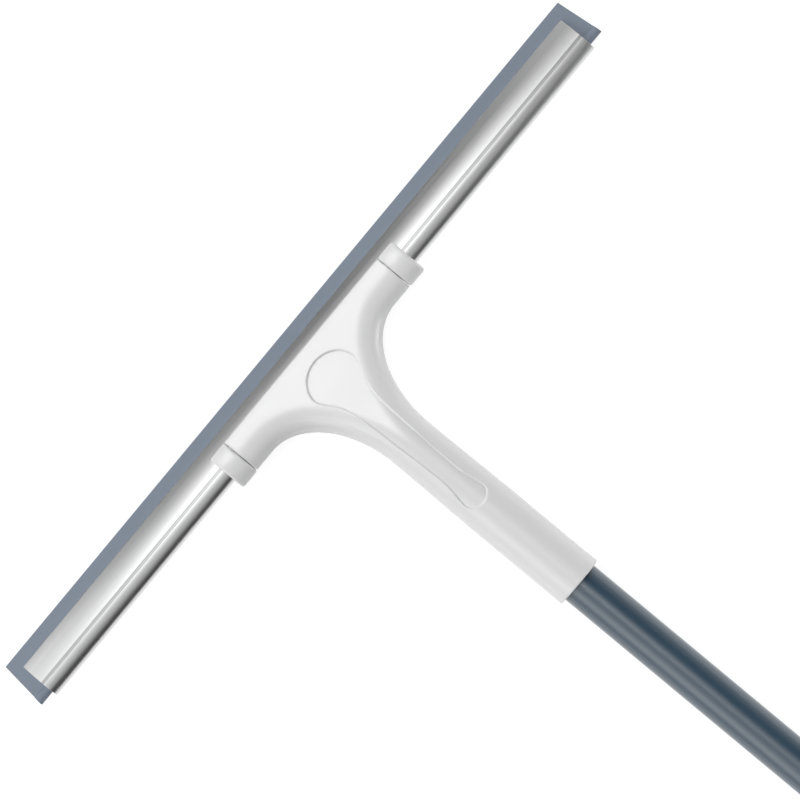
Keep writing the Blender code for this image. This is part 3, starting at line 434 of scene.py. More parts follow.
class Finish:
    """A material whose nodes are added one by one to a Principled shader."""

    def __init__(self, name, roughness, metallic=0.0):
        self.material = bpy.data.materials.new(name)
        self.material.use_nodes = True
        self.tree = self.material.node_tree
        self.shader = self.tree.nodes["Principled BSDF"]
        self.shader.inputs["Roughness"].default_value = roughness
        self.shader.inputs["Metallic"].default_value = metallic
        self.place = self.tree.nodes.new("ShaderNodeTexCoord").outputs["Object"]

    def noise(self, scale, detail=3.0, stretch=(1, 1, 1), rough=0.55):
        """Noise on the piece's own place, drawn out where the stretch is small."""
        mapping = self.tree.nodes.new("ShaderNodeMapping")
        mapping.inputs["Scale"].default_value = stretch
        self.tree.links.new(self.place, mapping.inputs["Vector"])
        node = self.tree.nodes.new("ShaderNodeTexNoise")
        node.inputs["Scale"].default_value = scale
        node.inputs["Detail"].default_value = detail
        node.inputs["Roughness"].default_value = rough
        self.tree.links.new(mapping.outputs["Vector"], node.inputs["Vector"])
        return node.outputs["Fac"]

    def ranged(self, value, low, high, start=0.3, end=0.7):
        node = self.tree.nodes.new("ShaderNodeMapRange")
        for name, number in (("From Min", start), ("From Max", end), ("To Min", low), ("To Max", high)):
            node.inputs[name].default_value = number
        self.tree.links.new(value, node.inputs["Value"])
        return node.outputs["Result"]

    def blend(self, value, one, two, start=0.3, end=0.7):
        """A colour between two, by a value."""
        node = self.tree.nodes.new("ShaderNodeMix")
        node.data_type = "RGBA"
        colors = [socket for socket in node.inputs if socket.type == "RGBA"]
        for socket, color in zip(colors, (one, two)):
            if isinstance(color, tuple):
                socket.default_value = (*color, 1.0)
            else:
                self.tree.links.new(color, socket)
        self.tree.links.new(self.ranged(value, 0.0, 1.0, start, end), node.inputs[0])
        return next(socket for socket in node.outputs if socket.type == "RGBA")

    def along_blade(self, v, half_width):
        """1 in a band along the blade at this v, 0 beside it, read in the blade's own bent frame."""
        turned = BLADE_PLACE.inverted()
        mapping = self.tree.nodes.new("ShaderNodeMapping")
        mapping.inputs["Location"].default_value = turned.translation
        mapping.inputs["Rotation"].default_value = turned.to_euler()
        self.tree.links.new(self.place, mapping.inputs["Vector"])
        parted = self.tree.nodes.new("ShaderNodeSeparateXYZ")
        self.tree.links.new(mapping.outputs["Vector"], parted.inputs["Vector"])
        band = self.tree.nodes.new("ShaderNodeMath")
        band.operation = "COMPARE"
        self.tree.links.new(parted.outputs["Y"], band.inputs[0])
        band.inputs[1].default_value = BEND_START - v
        band.inputs[2].default_value = half_width
        return band.outputs["Value"]

    def color(self, output):
        self.tree.links.new(output, self.shader.inputs["Base Color"])

    def roughness(self, output):
        self.tree.links.new(output, self.shader.inputs["Roughness"])

    def bumps(self, *heights):
        """Bumps laid over each other, each a value and its height in metres."""
        normal = None
        for value, height in heights:
            node = self.tree.nodes.new("ShaderNodeBump")
            node.inputs["Distance"].default_value = height
            self.tree.links.new(value, node.inputs["Height"])
            if normal:
                self.tree.links.new(normal, node.inputs["Normal"])
            normal = node.outputs["Normal"]
        self.tree.links.new(normal, self.shader.inputs["Normal"])


def white_plastic(name):
    """Moulded white plastic: even, softly glossy, with a faint ripple."""
    finish = Finish(name, 0.26)
    finish.shader.inputs["Specular IOR Level"].default_value = 0.9
    flow = finish.noise(45, 2)
    ripple = finish.noise(420, 2)
    grain = finish.noise(4200, 2)
    finish.color(finish.blend(flow, (0.834, 0.834, 0.836), (0.846, 0.846, 0.848)))
    finish.roughness(finish.ranged(ripple, 0.25, 0.27))
    finish.bumps((ripple, 0.0000006), (grain, 0.0000001))
    return finish.material


def plain_finish(name, roughness, shades, gloss, grain, metallic=0.0):
    """A finish with clouds of two shades, an uneven gloss and a grain, each led by a noise of its own."""
    finish = Finish(name, roughness, metallic)
    finish.color(finish.blend(finish.noise(*shades[0]), *shades[1:]))
    finish.roughness(finish.ranged(finish.noise(*gloss[0]), *gloss[1:]))
    finish.bumps((finish.noise(*grain[0]), grain[1]))
    return finish.material


# Each noise as its scale and detail, then the two shades, the two roughnesses or the grain's height
PLAIN_FINISHES = {
    "dark_plastic": {
        "roughness": 0.45,
        "shades": ((160, 2), (0.030, 0.034, 0.038), (0.045, 0.049, 0.054)),
        "gloss": ((2600, 3), 0.38, 0.55),
        "grain": ((2600, 3), 0.00001),
    },
    "grip_rubber": {
        "roughness": 0.7,
        "shades": ((60, 4), (0.030, 0.046, 0.062), (0.043, 0.062, 0.082)),
        "gloss": ((60, 4), 0.60, 0.80),
        "grain": ((2300, 2), 0.00005),
    },
    "zinc_steel": {
        "roughness": 0.32,
        "metallic": 1.0,
        "shades": ((900, 3), (0.52, 0.53, 0.54), (0.66, 0.66, 0.65)),
        "gloss": ((900, 3), 0.25, 0.42),
        "grain": ((3000, 2), 0.000006),
    },
    "natural_nylon": {
        "roughness": 0.5,
        "shades": ((200, 2), (0.56, 0.56, 0.53), (0.62, 0.62, 0.60)),
        "gloss": ((1500, 2), 0.42, 0.58),
        "grain": ((2400, 2), 0.00001),
    },
    "washer_rubber": {
        "roughness": 0.75,
        "shades": ((300, 2), (0.020, 0.020, 0.020), (0.032, 0.032, 0.033)),
        "gloss": ((1500, 2), 0.66, 0.84),
        "grain": ((3200, 2), 0.00002),
    },
}


def drawn_aluminium():
    """Extruded aluminium: die lines along the satin bar, and painted shade that darkens the floor of its
    fine line.
    """
    finish = Finish("drawn_aluminium", 0.30, 1.0)
    lines = finish.noise(1.0, 4, (9, 2600, 2600), 0.7)
    broad = finish.noise(1.0, 2, (5, 420, 420))
    metal = finish.blend(broad, (0.680, 0.682, 0.685), (0.735, 0.737, 0.740))
    # Painted shade: the fine line's floor is coloured darker to stand in for the shade in its groove
    painted_line_shade = finish.along_blade(CREST_AT, LINE_WIDTH / 2)
    finish.color(finish.blend(painted_line_shade, metal, (0.470, 0.472, 0.475)))
    finish.roughness(finish.ranged(lines, 0.30, 0.40))
    finish.bumps((lines, 0.0000025), (broad, 0.000004))
    return finish.material


def blade_rubber():
    """Blue-grey rubber: matt, with a fine grain and a faint bloom."""
    finish = Finish("blade_rubber", 0.55)
    bloom = finish.noise(38, 4, (0.35, 1, 1))
    grain = finish.noise(5200, 2)
    drag = finish.noise(1.0, 2, (30, 1500, 1500))
    finish.color(finish.blend(bloom, (0.212, 0.256, 0.318), (0.230, 0.276, 0.340)))
    finish.roughness(finish.ranged(grain, 0.50, 0.66))
    finish.bumps((drag, 0.000006), (grain, 0.00001))
    return finish.material


def pole_coating():
    """Semi-gloss blue-grey coating on the tubes, with a fine orange peel."""
    finish = Finish("pole_coating", 0.30)
    finish.shader.inputs["IOR"].default_value = 1.5
    finish.shader.inputs["Specular IOR Level"].default_value = 1.0
    finish.shader.inputs["Coat Weight"].default_value = 0.45
    finish.shader.inputs["Coat Roughness"].default_value = 0.22
    peel = finish.noise(900, 3)
    cloud = finish.noise(22, 3, (1, 0.3, 1))
    speck = finish.noise(5200, 1)
    finish.color(finish.blend(cloud, (0.032, 0.066, 0.102), (0.038, 0.076, 0.116)))
    finish.roughness(finish.ranged(speck, 0.27, 0.34))
    finish.bumps((peel, 0.000003), (speck, 0.000001))
    return finish.material


# Geometry Nodes: trees and their use


class Tree:
    """A geometry tree with named inputs, and short words for its nodes."""

    def __init__(self, name, inputs):
        self.tree = bpy.data.node_groups.new(name, "GeometryNodeTree")
        face = self.tree.interface
        face.new_socket("Geometry", in_out="INPUT", socket_type="NodeSocketGeometry")
        for label, kind in inputs:
            face.new_socket(label, in_out="INPUT", socket_type=f"NodeSocket{kind}")
        face.new_socket("Geometry", in_out="OUTPUT", socket_type="NodeSocketGeometry")
        self.given = self.tree.nodes.new("NodeGroupInput").outputs
        self.result = self.tree.nodes.new("NodeGroupOutput")

    def node(self, kind, settings=None, **inputs):
        """A node with its settings, and its inputs given by name as values or links."""
        node = self.tree.nodes.new(kind)
        for key, value in (settings or {}).items():
            setattr(node, key, value)
        for key, value in inputs.items():
            label = key.replace("_", " ")
            socket = next(s for s in node.inputs if s.name == label and s.enabled)
            self.give(value, socket)
        return node

    def give(self, value, socket):
        if isinstance(value, bpy.types.NodeSocket):
            self.tree.links.new(value, socket)
        else:
            socket.default_value = value

    def math(self, operation, *values):
        node = self.tree.nodes.new("ShaderNodeMath")
        node.operation = operation
        for value, socket in zip(values, node.inputs):
            self.give(value, socket)
        return node.outputs[0]

    def end(self, geometry, material):
        """Closes the tree with plain geometry in its material."""
        plain = self.node("GeometryNodeRealizeInstances", Geometry=geometry)
        dressed = self.node("GeometryNodeSetMaterial", Geometry=plain.outputs[0], Material=material)
        self.tree.links.new(dressed.outputs[0], self.result.inputs[0])
        return self.tree


def with_tree(obj, tree, **values):
    """The object's mesh as its tree makes it. The object is removed."""
    modifier = obj.modifiers.new(tree.name, "NODES")
    modifier.node_group = tree
    for item in tree.interface.items_tree:
        if item.in_out == "INPUT" and item.name.replace(" ", "_").lower() in values:
            modifier[item.identifier] = values[item.name.replace(" ", "_").lower()]
    return evaluated_mesh(obj)


def turned_tree():
    """Turns a line of (radius, 0, height) points about Z, with flutes sunk along its outer side."""
    kinds = [("Steps", "Int"), ("Flutes", "Int"), ("Flute Depth", "Float"), ("Flute Share", "Float")]
    kinds += [("Flute Start", "Float"), ("Flute End", "Float"), ("Fade", "Float"), ("Outer", "Float")]
    tree = Tree("turned piece", kinds + [("Material", "Material")])
    given, line = tree.given, tree.given["Geometry"]
    count = tree.node("GeometryNodeAttributeDomainSize", Geometry=line).outputs["Point Count"]
    rows = tree.math("ADD", given["Steps"], 1)
    grid = tree.node("GeometryNodeMeshGrid", Vertices_X=rows, Vertices_Y=count).outputs["Mesh"]
    index = tree.node("GeometryNodeInputIndex").outputs[0]
    column = tree.math("MODULO", index, count)
    row = tree.math("FLOOR", tree.math("DIVIDE", tree.math("ADD", index, 0.5), count))
    sample = tree.node(
        "GeometryNodeSampleIndex",
        {"data_type": "FLOAT_VECTOR"},
        Geometry=line,
        Value=tree.node("GeometryNodeInputPosition").outputs[0],
        Index=tree.math("ROUND", column),
    )
    parts = tree.node("ShaderNodeSeparateXYZ", Vector=sample.outputs[0]).outputs
    turn = tree.math("DIVIDE", row, given["Steps"])
    angle = tree.math("MULTIPLY", turn, math.tau)
    phase = tree.math("FRACT", tree.math("MULTIPLY", turn, given["Flutes"]))
    across = tree.math("DIVIDE", tree.math("SUBTRACT", phase, 0.5), given["Flute Share"])
    bowl = tree.math("MAXIMUM", tree.math("SUBTRACT", 1.0, tree.math("MULTIPLY", across, across)), 0.0)
    ends = []
    for one, two in ((parts[2], given["Flute Start"]), (given["Flute End"], parts[2])):
        share = tree.math("DIVIDE", tree.math("SUBTRACT", one, two), given["Fade"])
        clear = tree.math("MINIMUM", tree.math("MAXIMUM", share, 0.0), 1.0)
        ends.append(tree.math("SINE", tree.math("MULTIPLY", clear, math.pi / 2)))
    on_outer = tree.math("GREATER_THAN", parts[0], given["Outer"])
    sunk = tree.math("MULTIPLY", tree.math("MULTIPLY", *ends), tree.math("MULTIPLY", bowl, on_outer))
    radius = tree.math("SUBTRACT", parts[0], tree.math("MULTIPLY", sunk, given["Flute Depth"]))
    place = tree.node(
        "ShaderNodeCombineXYZ",
        X=tree.math("MULTIPLY", radius, tree.math("COSINE", angle)),
        Y=tree.math("MULTIPLY", radius, tree.math("SINE", angle)),
        Z=parts[2],
    )
    shaped = tree.node("GeometryNodeSetPosition", Geometry=grid, Position=place.outputs[0])
    closed = tree.node("GeometryNodeMergeByDistance", Geometry=shaped.outputs[0], Distance=MERGE)
    return tree.end(closed.outputs[0], given["Material"])


def drawn_tree():
    """Draws a flat outline out along X, with its ends flared towards the outline's back."""
    kinds = [("Length", "Float"), ("Flare", "Float"), ("Flare Start", "Float"), ("Flare Run", "Float")]
    tree = Tree("drawn bar", kinds + [("Material", "Material")])
    given, flat = tree.given, tree.given["Geometry"]
    way = tree.node("ShaderNodeCombineXYZ", X=given["Length"])
    pulled = tree.node("GeometryNodeExtrudeMesh", Mesh=flat, Offset=way.outputs[0], Individual=False)
    back = tree.node("GeometryNodeFlipFaces", Mesh=flat)
    both = tree.node("GeometryNodeJoinGeometry")
    for part in (pulled, back):
        tree.tree.links.new(part.outputs[0], both.inputs[0])
    bar = tree.node("GeometryNodeMergeByDistance", Geometry=both.outputs[0], Distance=MERGE)
    position = tree.node("GeometryNodeInputPosition").outputs[0]
    parts = tree.node("ShaderNodeSeparateXYZ", Vector=position).outputs
    half = tree.math("DIVIDE", given["Length"], 2)
    depth = tree.math("SUBTRACT", given["Flare Start"], parts[1])
    flare = tree.math("MULTIPLY", tree.math("DIVIDE", depth, given["Flare Run"]), given["Flare"])
    side = tree.math("SIGN", tree.math("SUBTRACT", parts[0], half))
    out = tree.math("MULTIPLY", side, flare)
    shift = tree.node("ShaderNodeCombineXYZ", X=tree.math("SUBTRACT", out, half))
    placed = tree.node("GeometryNodeSetPosition", Geometry=bar.outputs[0], Offset=shift.outputs[0])
    return tree.end(placed.outputs[0], given["Material"])


def copies_tree():
    """Sets a copy of an object on each point, turned by the point's own angles."""
    tree = Tree("set out copies", [("Piece", "Object"), ("Material", "Material")])
    item = tree.node("GeometryNodeObjectInfo", Object=tree.given["Piece"])
    turn = tree.node("GeometryNodeInputNamedAttribute", {"data_type": "FLOAT_VECTOR"}, Name="turn")
    copies = tree.node(
        "GeometryNodeInstanceOnPoints",
        Points=tree.given["Geometry"],
        Instance=item.outputs["Geometry"],
        Rotation=turn.outputs["Attribute"],
    )
    return tree.end(copies.outputs[0], tree.given["Material"])


TURNED = turned_tree()
DRAWN = drawn_tree()
COPIES = copies_tree()
POLE_PLACE = Matrix.Translation((0, 0, AXIS_Z)) @ Matrix.Rotation(math.radians(-90), 4, "X")


def turned_mesh(name, profile, material, closed=True, place=POLE_PLACE, **given):
    """A (radius, height) line turned about its axis, which runs up its outer side."""
    mesh = bpy.data.meshes.new(name)
    points = list(profile) + ([profile[0]] if closed else [])
    mesh.from_pydata([(p[0], 0, p[1]) for p in points], [(i, i + 1) for i in range(len(points) - 1)], [])
    settings = {"flutes": 1, "flute_depth": 0.0, "flute_share": 1.0, "flute_start": 0.0, "flute_end": 1.0}
    settings |= {"fade": 1.0, "outer": 1.0, "steps": TURN_STEPS, "material": material}
    result = with_tree(new_object(name, mesh), TURNED, **(settings | given))
    result.transform(place)
    return result


def drawn_mesh(name, outline, length, material, edge_angle, flare=0.0, flare_run=1.0):
    """A closed (v, n) outline drawn along the blade, with small rounded edges."""
    bm = bmesh.new()
    bm.faces.new([bm.verts.new((0, BEND_START - v, n)) for v, n in outline])
    bmesh.ops.recalc_face_normals(bm, faces=bm.faces)
    if bm.faces[:][0].normal.x < 0:
        bmesh.ops.reverse_faces(bm, faces=bm.faces)
    sizes = {"length": length, "flare": flare, "flare_start": BEND_START, "flare_run": flare_run}
    mesh = with_tree(new_object(name, finished(bm, name)), DRAWN, material=material, **sizes)
    bar = new_object(name, mesh)
    bevel = bar.modifiers.new("edges", "BEVEL")
    bevel.width = BAR_EDGE
    bevel.segments = 3
    bevel.limit_method = "ANGLE"
    bevel.angle_limit = math.radians(edge_angle)
    return evaluated_mesh(bar)


# Blade, channel and collars


def channel_height(v, grow=0.0):
    """Height of the channel's upper side between its front lip and its crest."""
    share = (CREST_AT - v) / CHANNEL_CREST
    return CHANNEL_TOP + grow - (CHANNEL_TOP - CHANNEL_NOSE / 2) * share**2


def channel_upper(grow=0.0):
    """The channel's upper side from its front lip to its back edge, or a space grown round it."""
    run = CHANNEL_CREST + grow
    points = []
    for step in range(CREST_STEPS + 1):
        v = CREST_AT - run + run * step / CREST_STEPS
        points.append((v, channel_height(max(v, CHANNEL_FRONT), grow)))
    back = CHANNEL_DEPTH - CHANNEL_CREST + grow
    for angle in arc(CREST_STEPS, 0, 90)[1:]:
        points.append((CREST_AT + back * math.sin(angle), (CHANNEL_TOP + grow) * math.cos(angle)))
    return points


def mirrored(upper):
    """An upper side that ends on n = 0, followed by its mirror image."""
    return upper + [(v, -n) for v, n in reversed(upper[:-1])]


def bead_line(radius, half):
    """The round back of the bead or its chamber, from below the mouth to above it."""
    mouth = math.degrees(math.asin(half / radius))
    return [
        (BEAD_AT + radius * math.cos(angle), radius * math.sin(angle))
        for angle in arc(ROUND_STEPS, 180 + mouth, 540 - mouth)
    ]


def channel_outline():
    """The channel's outer side with its fine line, and its slot and bead chamber."""
    half = LINE_WIDTH / 2
    floor = CHANNEL_TOP - LINE_DEPTH
    upper = channel_upper()
    line = [
        (CREST_AT - half, channel_height(CREST_AT - half)),
        (CREST_AT - half + LINE_WALL, floor),
        (CREST_AT + half - LINE_WALL, floor),
        (CREST_AT + half, CHANNEL_TOP * math.sqrt(1 - (half / (CHANNEL_DEPTH - CHANNEL_CREST)) ** 2)),
    ]
    before = [point for point in upper if point[0] < CREST_AT - half]
    after = [point for point in upper if point[0] > CREST_AT + half]
    slot = RUBBER_THICKNESS / 2 + GAP / 2
    inner = [(CHANNEL_FRONT, -slot), *bead_line(BEAD_RADIUS + GAP, slot), (CHANNEL_FRONT, slot)]
    return mirrored(before + line + after) + inner


def rubber_outline():
    half = RUBBER_THICKNESS / 2
    return [(0, half), (0, -half), *bead_line(BEAD_RADIUS, half)]


def collar_outline(inset):
    """The collar's section: a round-backed clip, open at the front, its outer side set in a little."""
    top = ARM_HEIGHT + COLLAR_PROUD - inset
    back = ARM_BACK + COLLAR_PROUD - inset
    front = ARM_FRONT + inset
    fall = SOCKET_RADIUS + COLLAR_PROUD
    corner = LIP_CORNER * LIP_EDGE
    upper = [(front, top - LIP_EDGE), (front + corner, top - corner), (front + LIP_EDGE, top)]
    for angle in arc(ROUND_STEPS, 0, 90):
        upper.append((back - fall + fall * math.sin(angle), top * math.cos(angle)))
    inner = [point for point in channel_upper(GAP) if point[0] > ARM_FRONT + COLLAR_EDGE + MERGE]
    inner.insert(0, (front, channel_height(front, GAP)))
    return mirrored(upper) + list(reversed(mirrored(inner)))


def collar_mesh(name):
    """The collar's section drawn out along the blade, its outer edges rounded at both ends."""
    ends = [COLLAR_EDGE * share for share in EDGE_SHARES]
    stations = [(end - COLLAR_HALF, end) for end in ends]
    stations += [(COLLAR_HALF - end, end) for end in reversed(ends)]
    bm = bmesh.new()
    rings = []
    for x, end in stations:
        outline = collar_outline(float(edge_drop(end, COLLAR_EDGE)))
        rings.append([bm.verts.new((x, BEND_START - v, n)) for v, n in outline])
    bridge(bm, rings, closed=True)
    caps = [bm.faces.new(rings[0]), bm.faces.new(reversed(rings[-1]))]
    bmesh.ops.recalc_face_normals(bm, faces=bm.faces)
    bmesh.ops.triangulate(bm, faces=caps)
    return finished(bm, name)


def make_blade_parts(white, aluminium, rubber):
    length = 2 * box_of("blade_channel")[2]
    channel = drawn_mesh("channel_bar", channel_outline(), length, aluminium, 25)
    channel.transform(BLADE_PLACE)
    piece("channel_bar", channel, aluminium, "head", "aluminium", "blade_channel")
    run = BEAD_AT + BEAD_RADIUS
    strip = drawn_mesh("wiper_strip", rubber_outline(), BLADE_LENGTH, rubber, 50, BLADE_SKEW, run)
    strip.transform(BLADE_PLACE)
    piece("wiper_strip", strip, rubber, "head", "rubber", "rubber_blade")
    middle = (COLLAR_LOW.x + COLLAR_HIGH.x) / 2
    for side, name, node in ((-1, "left_clip", "left_collar"), (1, "right_clip", "right_collar")):
        clip = collar_mesh(name)
        clip.transform(BLADE_PLACE @ Matrix.Translation((side * middle, 0, 0)))
        piece(name, clip, white, "head", "white_plastic", node)


# The head's skin


def neck_half_width(v):
    return WAIST_HALF + WAIST * smooth((v - BEND_END) / WAIST_RUN)


def head_height(v):
    """How high the front face stands above the middle line, and how deep the back lies below it."""
    share = smooth((v - ARM_BACK) / (BEND_END - ARM_BACK))
    return ARM_HEIGHT + (neck_half_width(v) - ARM_HEIGHT) * share


def rim_line(end, step, ends=()):
    """The right half of the rim, from the arm's end to v = end: columns x, v and the inward normal."""
    along = BEND_END - ARM_BACK
    fillet_x = WAIST_HALF + FILLET_ACROSS
    last = max(ends, default=0)
    arm = {ARM_LENGTH - e for e in ends} | set(steps_between(ARM_LENGTH - last, fillet_x, step))
    rows = [(x, ARM_BACK, 0.0, -1.0) for x in sorted(arm, reverse=True)]
    # A quarter arc is about 1.15 times as long as its chord
    turns = max(2, int(round(math.hypot(along, FILLET_ACROSS) * 1.15 / step)))
    for angle in arc(turns, 90, 0)[1:-1]:
        x = WAIST_HALF + FILLET_ACROSS * (1 - math.cos(angle))
        normal = Vector((along * math.cos(angle), FILLET_ACROSS * math.sin(angle))).normalized()
        rows.append((x, BEND_END - along * math.sin(angle), -normal.x, -normal.y))
    neck = {end - e for e in ends} | set(steps_between(BEND_END, end - last, step))
    rows += [(float(neck_half_width(v)), v, -1.0, 0.0) for v in sorted(neck)]
    return np.array(rows)


def shoulder_width(rim):
    """How far in the shoulder reaches at each place of the rim, never past the head's middle."""
    return np.minimum(SOCKET_RADIUS, rim[:, 0] / np.maximum(-rim[:, 2], NEAR_ZERO))


FINE_RIM = rim_line(SOCKET_END, RIM_FINE_STEP)
FINE_FALL = shoulder_width(FINE_RIM)


def from_rim(x, v):
    """For places on the head: how far they lie in from the rim, and the shoulder's width there."""
    x = np.abs(x)
    distance = np.empty(len(x))
    fall = np.empty(len(x))
    for start in range(0, len(x), RIM_BATCH):
        part = slice(start, start + RIM_BATCH)
        away = (x[part, None] - FINE_RIM[None, :, 0]) ** 2 + (v[part, None] - FINE_RIM[None, :, 1]) ** 2
        near = away.argmin(axis=1)
        step_x = x[part] - FINE_RIM[near, 0]
        step_v = v[part] - FINE_RIM[near, 1]
        distance[part] = step_x * FINE_RIM[near, 2] + step_v * FINE_RIM[near, 3]
        fall[part] = FINE_FALL[near]
    return distance, fall


def skin_height(x, v):
    """Height of the bare skin: a flat face that falls in a quarter ellipse to the rim."""
    distance, fall = from_rim(x, v)
    share = 1 - np.clip(distance / fall, 0, 1)
    return head_height(v) * np.sqrt(np.maximum(1 - share * share, 0))


def recess_line():
    """Half of the recess's edge as arrays of v and half-width, from its top round its stem to its end."""
    stem = np.array(RECESS_STEM)
    slope = np.gradient(stem[:, 1], stem[:, 0])
    slope[0] = 0.0
    slope[-1] = RECESS_END_SLOPE
    points = []
    for angle in arc(RECESS_TOP_STEPS, 0, 90)[:-1]:
        points.append((stem[0, 0] - RECESS_HEAD_LENGTH * math.cos(angle), stem[0, 1] * math.sin(angle)))
    for (v0, h0), (v1, h1), s0, s1 in zip(stem, stem[1:], slope, slope[1:]):
        run = v1 - v0
        for t in np.linspace(0, 1, max(3, int(run / RECESS_STEP)), endpoint=False):
            t2, t3 = t * t, t * t * t
            value = (2 * t3 - 3 * t2 + 1) * h0 + (3 * t2 - 2 * t3) * h1
            value += run * ((t3 - 2 * t2 + t) * s0 + (t3 - t2) * s1)
            points.append((v0 + run * t, value))
    for angle in arc(RECESS_END_STEPS, 90, 0):
        points.append((stem[-1, 0] + RECESS_END_LENGTH * math.cos(angle), stem[-1, 1] * math.sin(angle)))
    return np.array(points)


RECESS_LINE = recess_line()


def in_recess(x, v):
    """How far places lie inside the recess's edge, negative outside."""
    x = np.abs(x)
    away = (x[:, None] - RECESS_LINE[None, :, 1]) ** 2 + (v[:, None] - RECESS_LINE[None, :, 0]) ** 2
    distance = np.sqrt(away.min(axis=1))
    half = np.interp(v, RECESS_LINE[:, 0], RECESS_LINE[:, 1], left=-1, right=-1)
    return np.where(x < half, distance, -distance)


def edged(x, v, n, end, end_edge):
    """Places with the arm's end, the front edge and the lower end rounded off."""
    arm = edge_drop(ARM_LENGTH - np.abs(x), ARM_EDGE) / ARM_HEIGHT
    v = v - arm * np.maximum(v - (ARM_BACK - SOCKET_RADIUS), 0) * (np.abs(x) > FILLET_ACROSS)
    n = n * (1 - arm)
    n = n - edge_drop(v - ARM_FRONT, FRONT_EDGE)
    mouth = edge_drop(end - v, end_edge) / SOCKET_RADIUS
    return x * (1 - mouth), v, n * (1 - mouth)


def shoulder_rows(rim, parting):
    """Insets from the rim and heights for each row of the shoulder, at every place along the rim."""
    fall = shoulder_width(rim)
    height = head_height(rim[:, 1])
    rows = []
    for share in EDGE_SHARES[:-1]:
        n = parting * (GAP / 2 + PARTING_EDGE * share)
        n = n + (1 - parting) * height * share * SHOULDER_FIRST_SHARE
        share_up = np.clip(n / height, 0, 1)
        bare = fall * (1 - np.sqrt(1 - share_up * share_up))
        rows.append((bare + parting * edge_drop(PARTING_EDGE * share, PARTING_EDGE), n))
    low = np.arcsin((GAP / 2 + PARTING_EDGE) / height)
    high = np.arccos(1 - SHOULDER_DEPTH / fall)
    for step in range(SHOULDER_ROWS + 1):
        angle = low + (high - low) * step / SHOULDER_ROWS
        rows.append((fall * (1 - np.cos(angle)), height * np.sin(angle)))
    return rows


def outline_points(line, offset):
    """A line's points moved square to it by an offset."""
    way = np.gradient(line, axis=0)
    way /= np.linalg.norm(way, axis=1)[:, None]
    return line + offset * np.stack((way[:, 1], -way[:, 0]), axis=1)


def inside_outline(points, outline):
    """For each point, whether the closed outline goes round it."""
    found = np.zeros(len(points), bool)
    for (x0, y0), (x1, y1) in zip(outline, np.roll(outline, -1, axis=0)):
        across = (y0 > points[:, 1]) != (y1 > points[:, 1])
        if y0 != y1:
            found ^= across & (points[:, 0] < x0 + (points[:, 1] - y0) * (x1 - x0) / (y1 - y0))
    return found


def fill_triangles(points, edge_count, keep):
    """Triangles over scattered flat points, the first of which are a line that stays an edge."""
    edges = [(i, i + 1) for i in range(edge_count - 1)]
    result = delaunay_2d_cdt([Vector(p) for p in points], edges, [], 0, 1e-9)
    places = np.array([tuple(p) for p in result[0]])
    triangles = np.array([face for face in result[2] if len(face) == 3])
    middles = places[triangles].mean(axis=1)
    return places, triangles[keep(middles)]


def recess_places():
    """Places along the recess's wall and on both sides of it."""
    walls = np.linspace(-RECESS_WALL_WIDTH / 2, RECESS_WALL_WIDTH / 2, RECESS_WALL_ROWS)
    line = resampled(RECESS_LINE[:, ::-1], RECESS_STEP)
    places = []
    for offset in (*walls, RECESS_WALL_WIDTH, -RECESS_WALL_WIDTH):
        moved = outline_points(line, offset)
        places += [(x, v) for x, v in moved if x > MERGE]
        places += [(0.0, moved[0, 1]), (0.0, moved[-1, 1])]
    return places


def well_places():
    """Rings of places round the screws' wells."""
    places = []
    for spot_x, spot_v in RIGHT_WELLS:
        for radius in [WELL_RADIUS + grow for grow in WELL_RINGS]:
            for angle in arc(RING_STEPS, -180, 180)[:-1]:
                x = spot_x + radius * math.cos(angle)
                if x >= -MERGE:
                    places.append((x, spot_v + radius * math.sin(angle)))
    return places


def clear_of_wells(x, v, reach):
    """Which places lie further than this from the middle of every well."""
    clear = np.ones(len(x), bool)
    for spot_x, spot_v in RIGHT_WELLS:
        clear &= np.hypot(x - spot_x, v - spot_v) > reach
    return clear


def filling_places(front, last):
    """Evenly scattered places down to v = last, clear of the shoulder and of the recess or the wells."""
    places = []
    for index, v in enumerate(np.arange(ARM_FRONT + FRONT_EDGE + FILL_STEP, last, FILL_ROW_STEP)):
        first = FILL_STEP * (0.5 if index % 2 else 0.0)
        places += [(x, v) for x in np.arange(first, ARM_LENGTH - FILL_STEP / 2, FILL_STEP)]
    places = np.array(places)
    x, v = places.T
    keep = from_rim(x, v)[0] > SHOULDER_DEPTH + SHOULDER_MARGIN
    if front:
        keep &= np.abs(in_recess(x, v)) > RECESS_WALL_WIDTH + RECESS_MARGIN
    else:
        keep &= clear_of_wells(x, v, WELL_RADIUS + WELL_RINGS[-1] + WELL_MARGIN)
    return places[keep]


def face_places(front, end, end_edge, ends, inner):
    """Places over the flat face, the shoulder's last row first."""
    front_vs = [ARM_FRONT + FRONT_EDGE * share for share in EDGE_SHARES]
    corner_vs = steps_between(ARM_FRONT + FRONT_EDGE, inner[0, 1], FILL_STEP)[:-1]
    arm_xs = [ARM_LENGTH - e for e in ends]
    front_xs = list(steps_between(0, ARM_LENGTH - ARM_EDGE, FILL_STEP)) + arm_xs[:-1]
    end_xs = steps_between(0, inner[-1, 0], MOUTH_STEP)[:-1]
    end_vs = [end - end_edge * share for share in EDGE_SHARES]
    places = [tuple(place) for place in inner]
    for xs, vs in ((front_xs, front_vs), (arm_xs, corner_vs), (end_xs, end_vs)):
        places += [(x, v) for x in xs for v in vs]
    places += recess_places() if front else well_places()
    places = np.concatenate((np.array(places), filling_places(front, end - end_edge)))
    places = places[places[:, 0] > -MERGE]
    places[:, 0] = np.maximum(places[:, 0], 0)
    return unique_points(places)


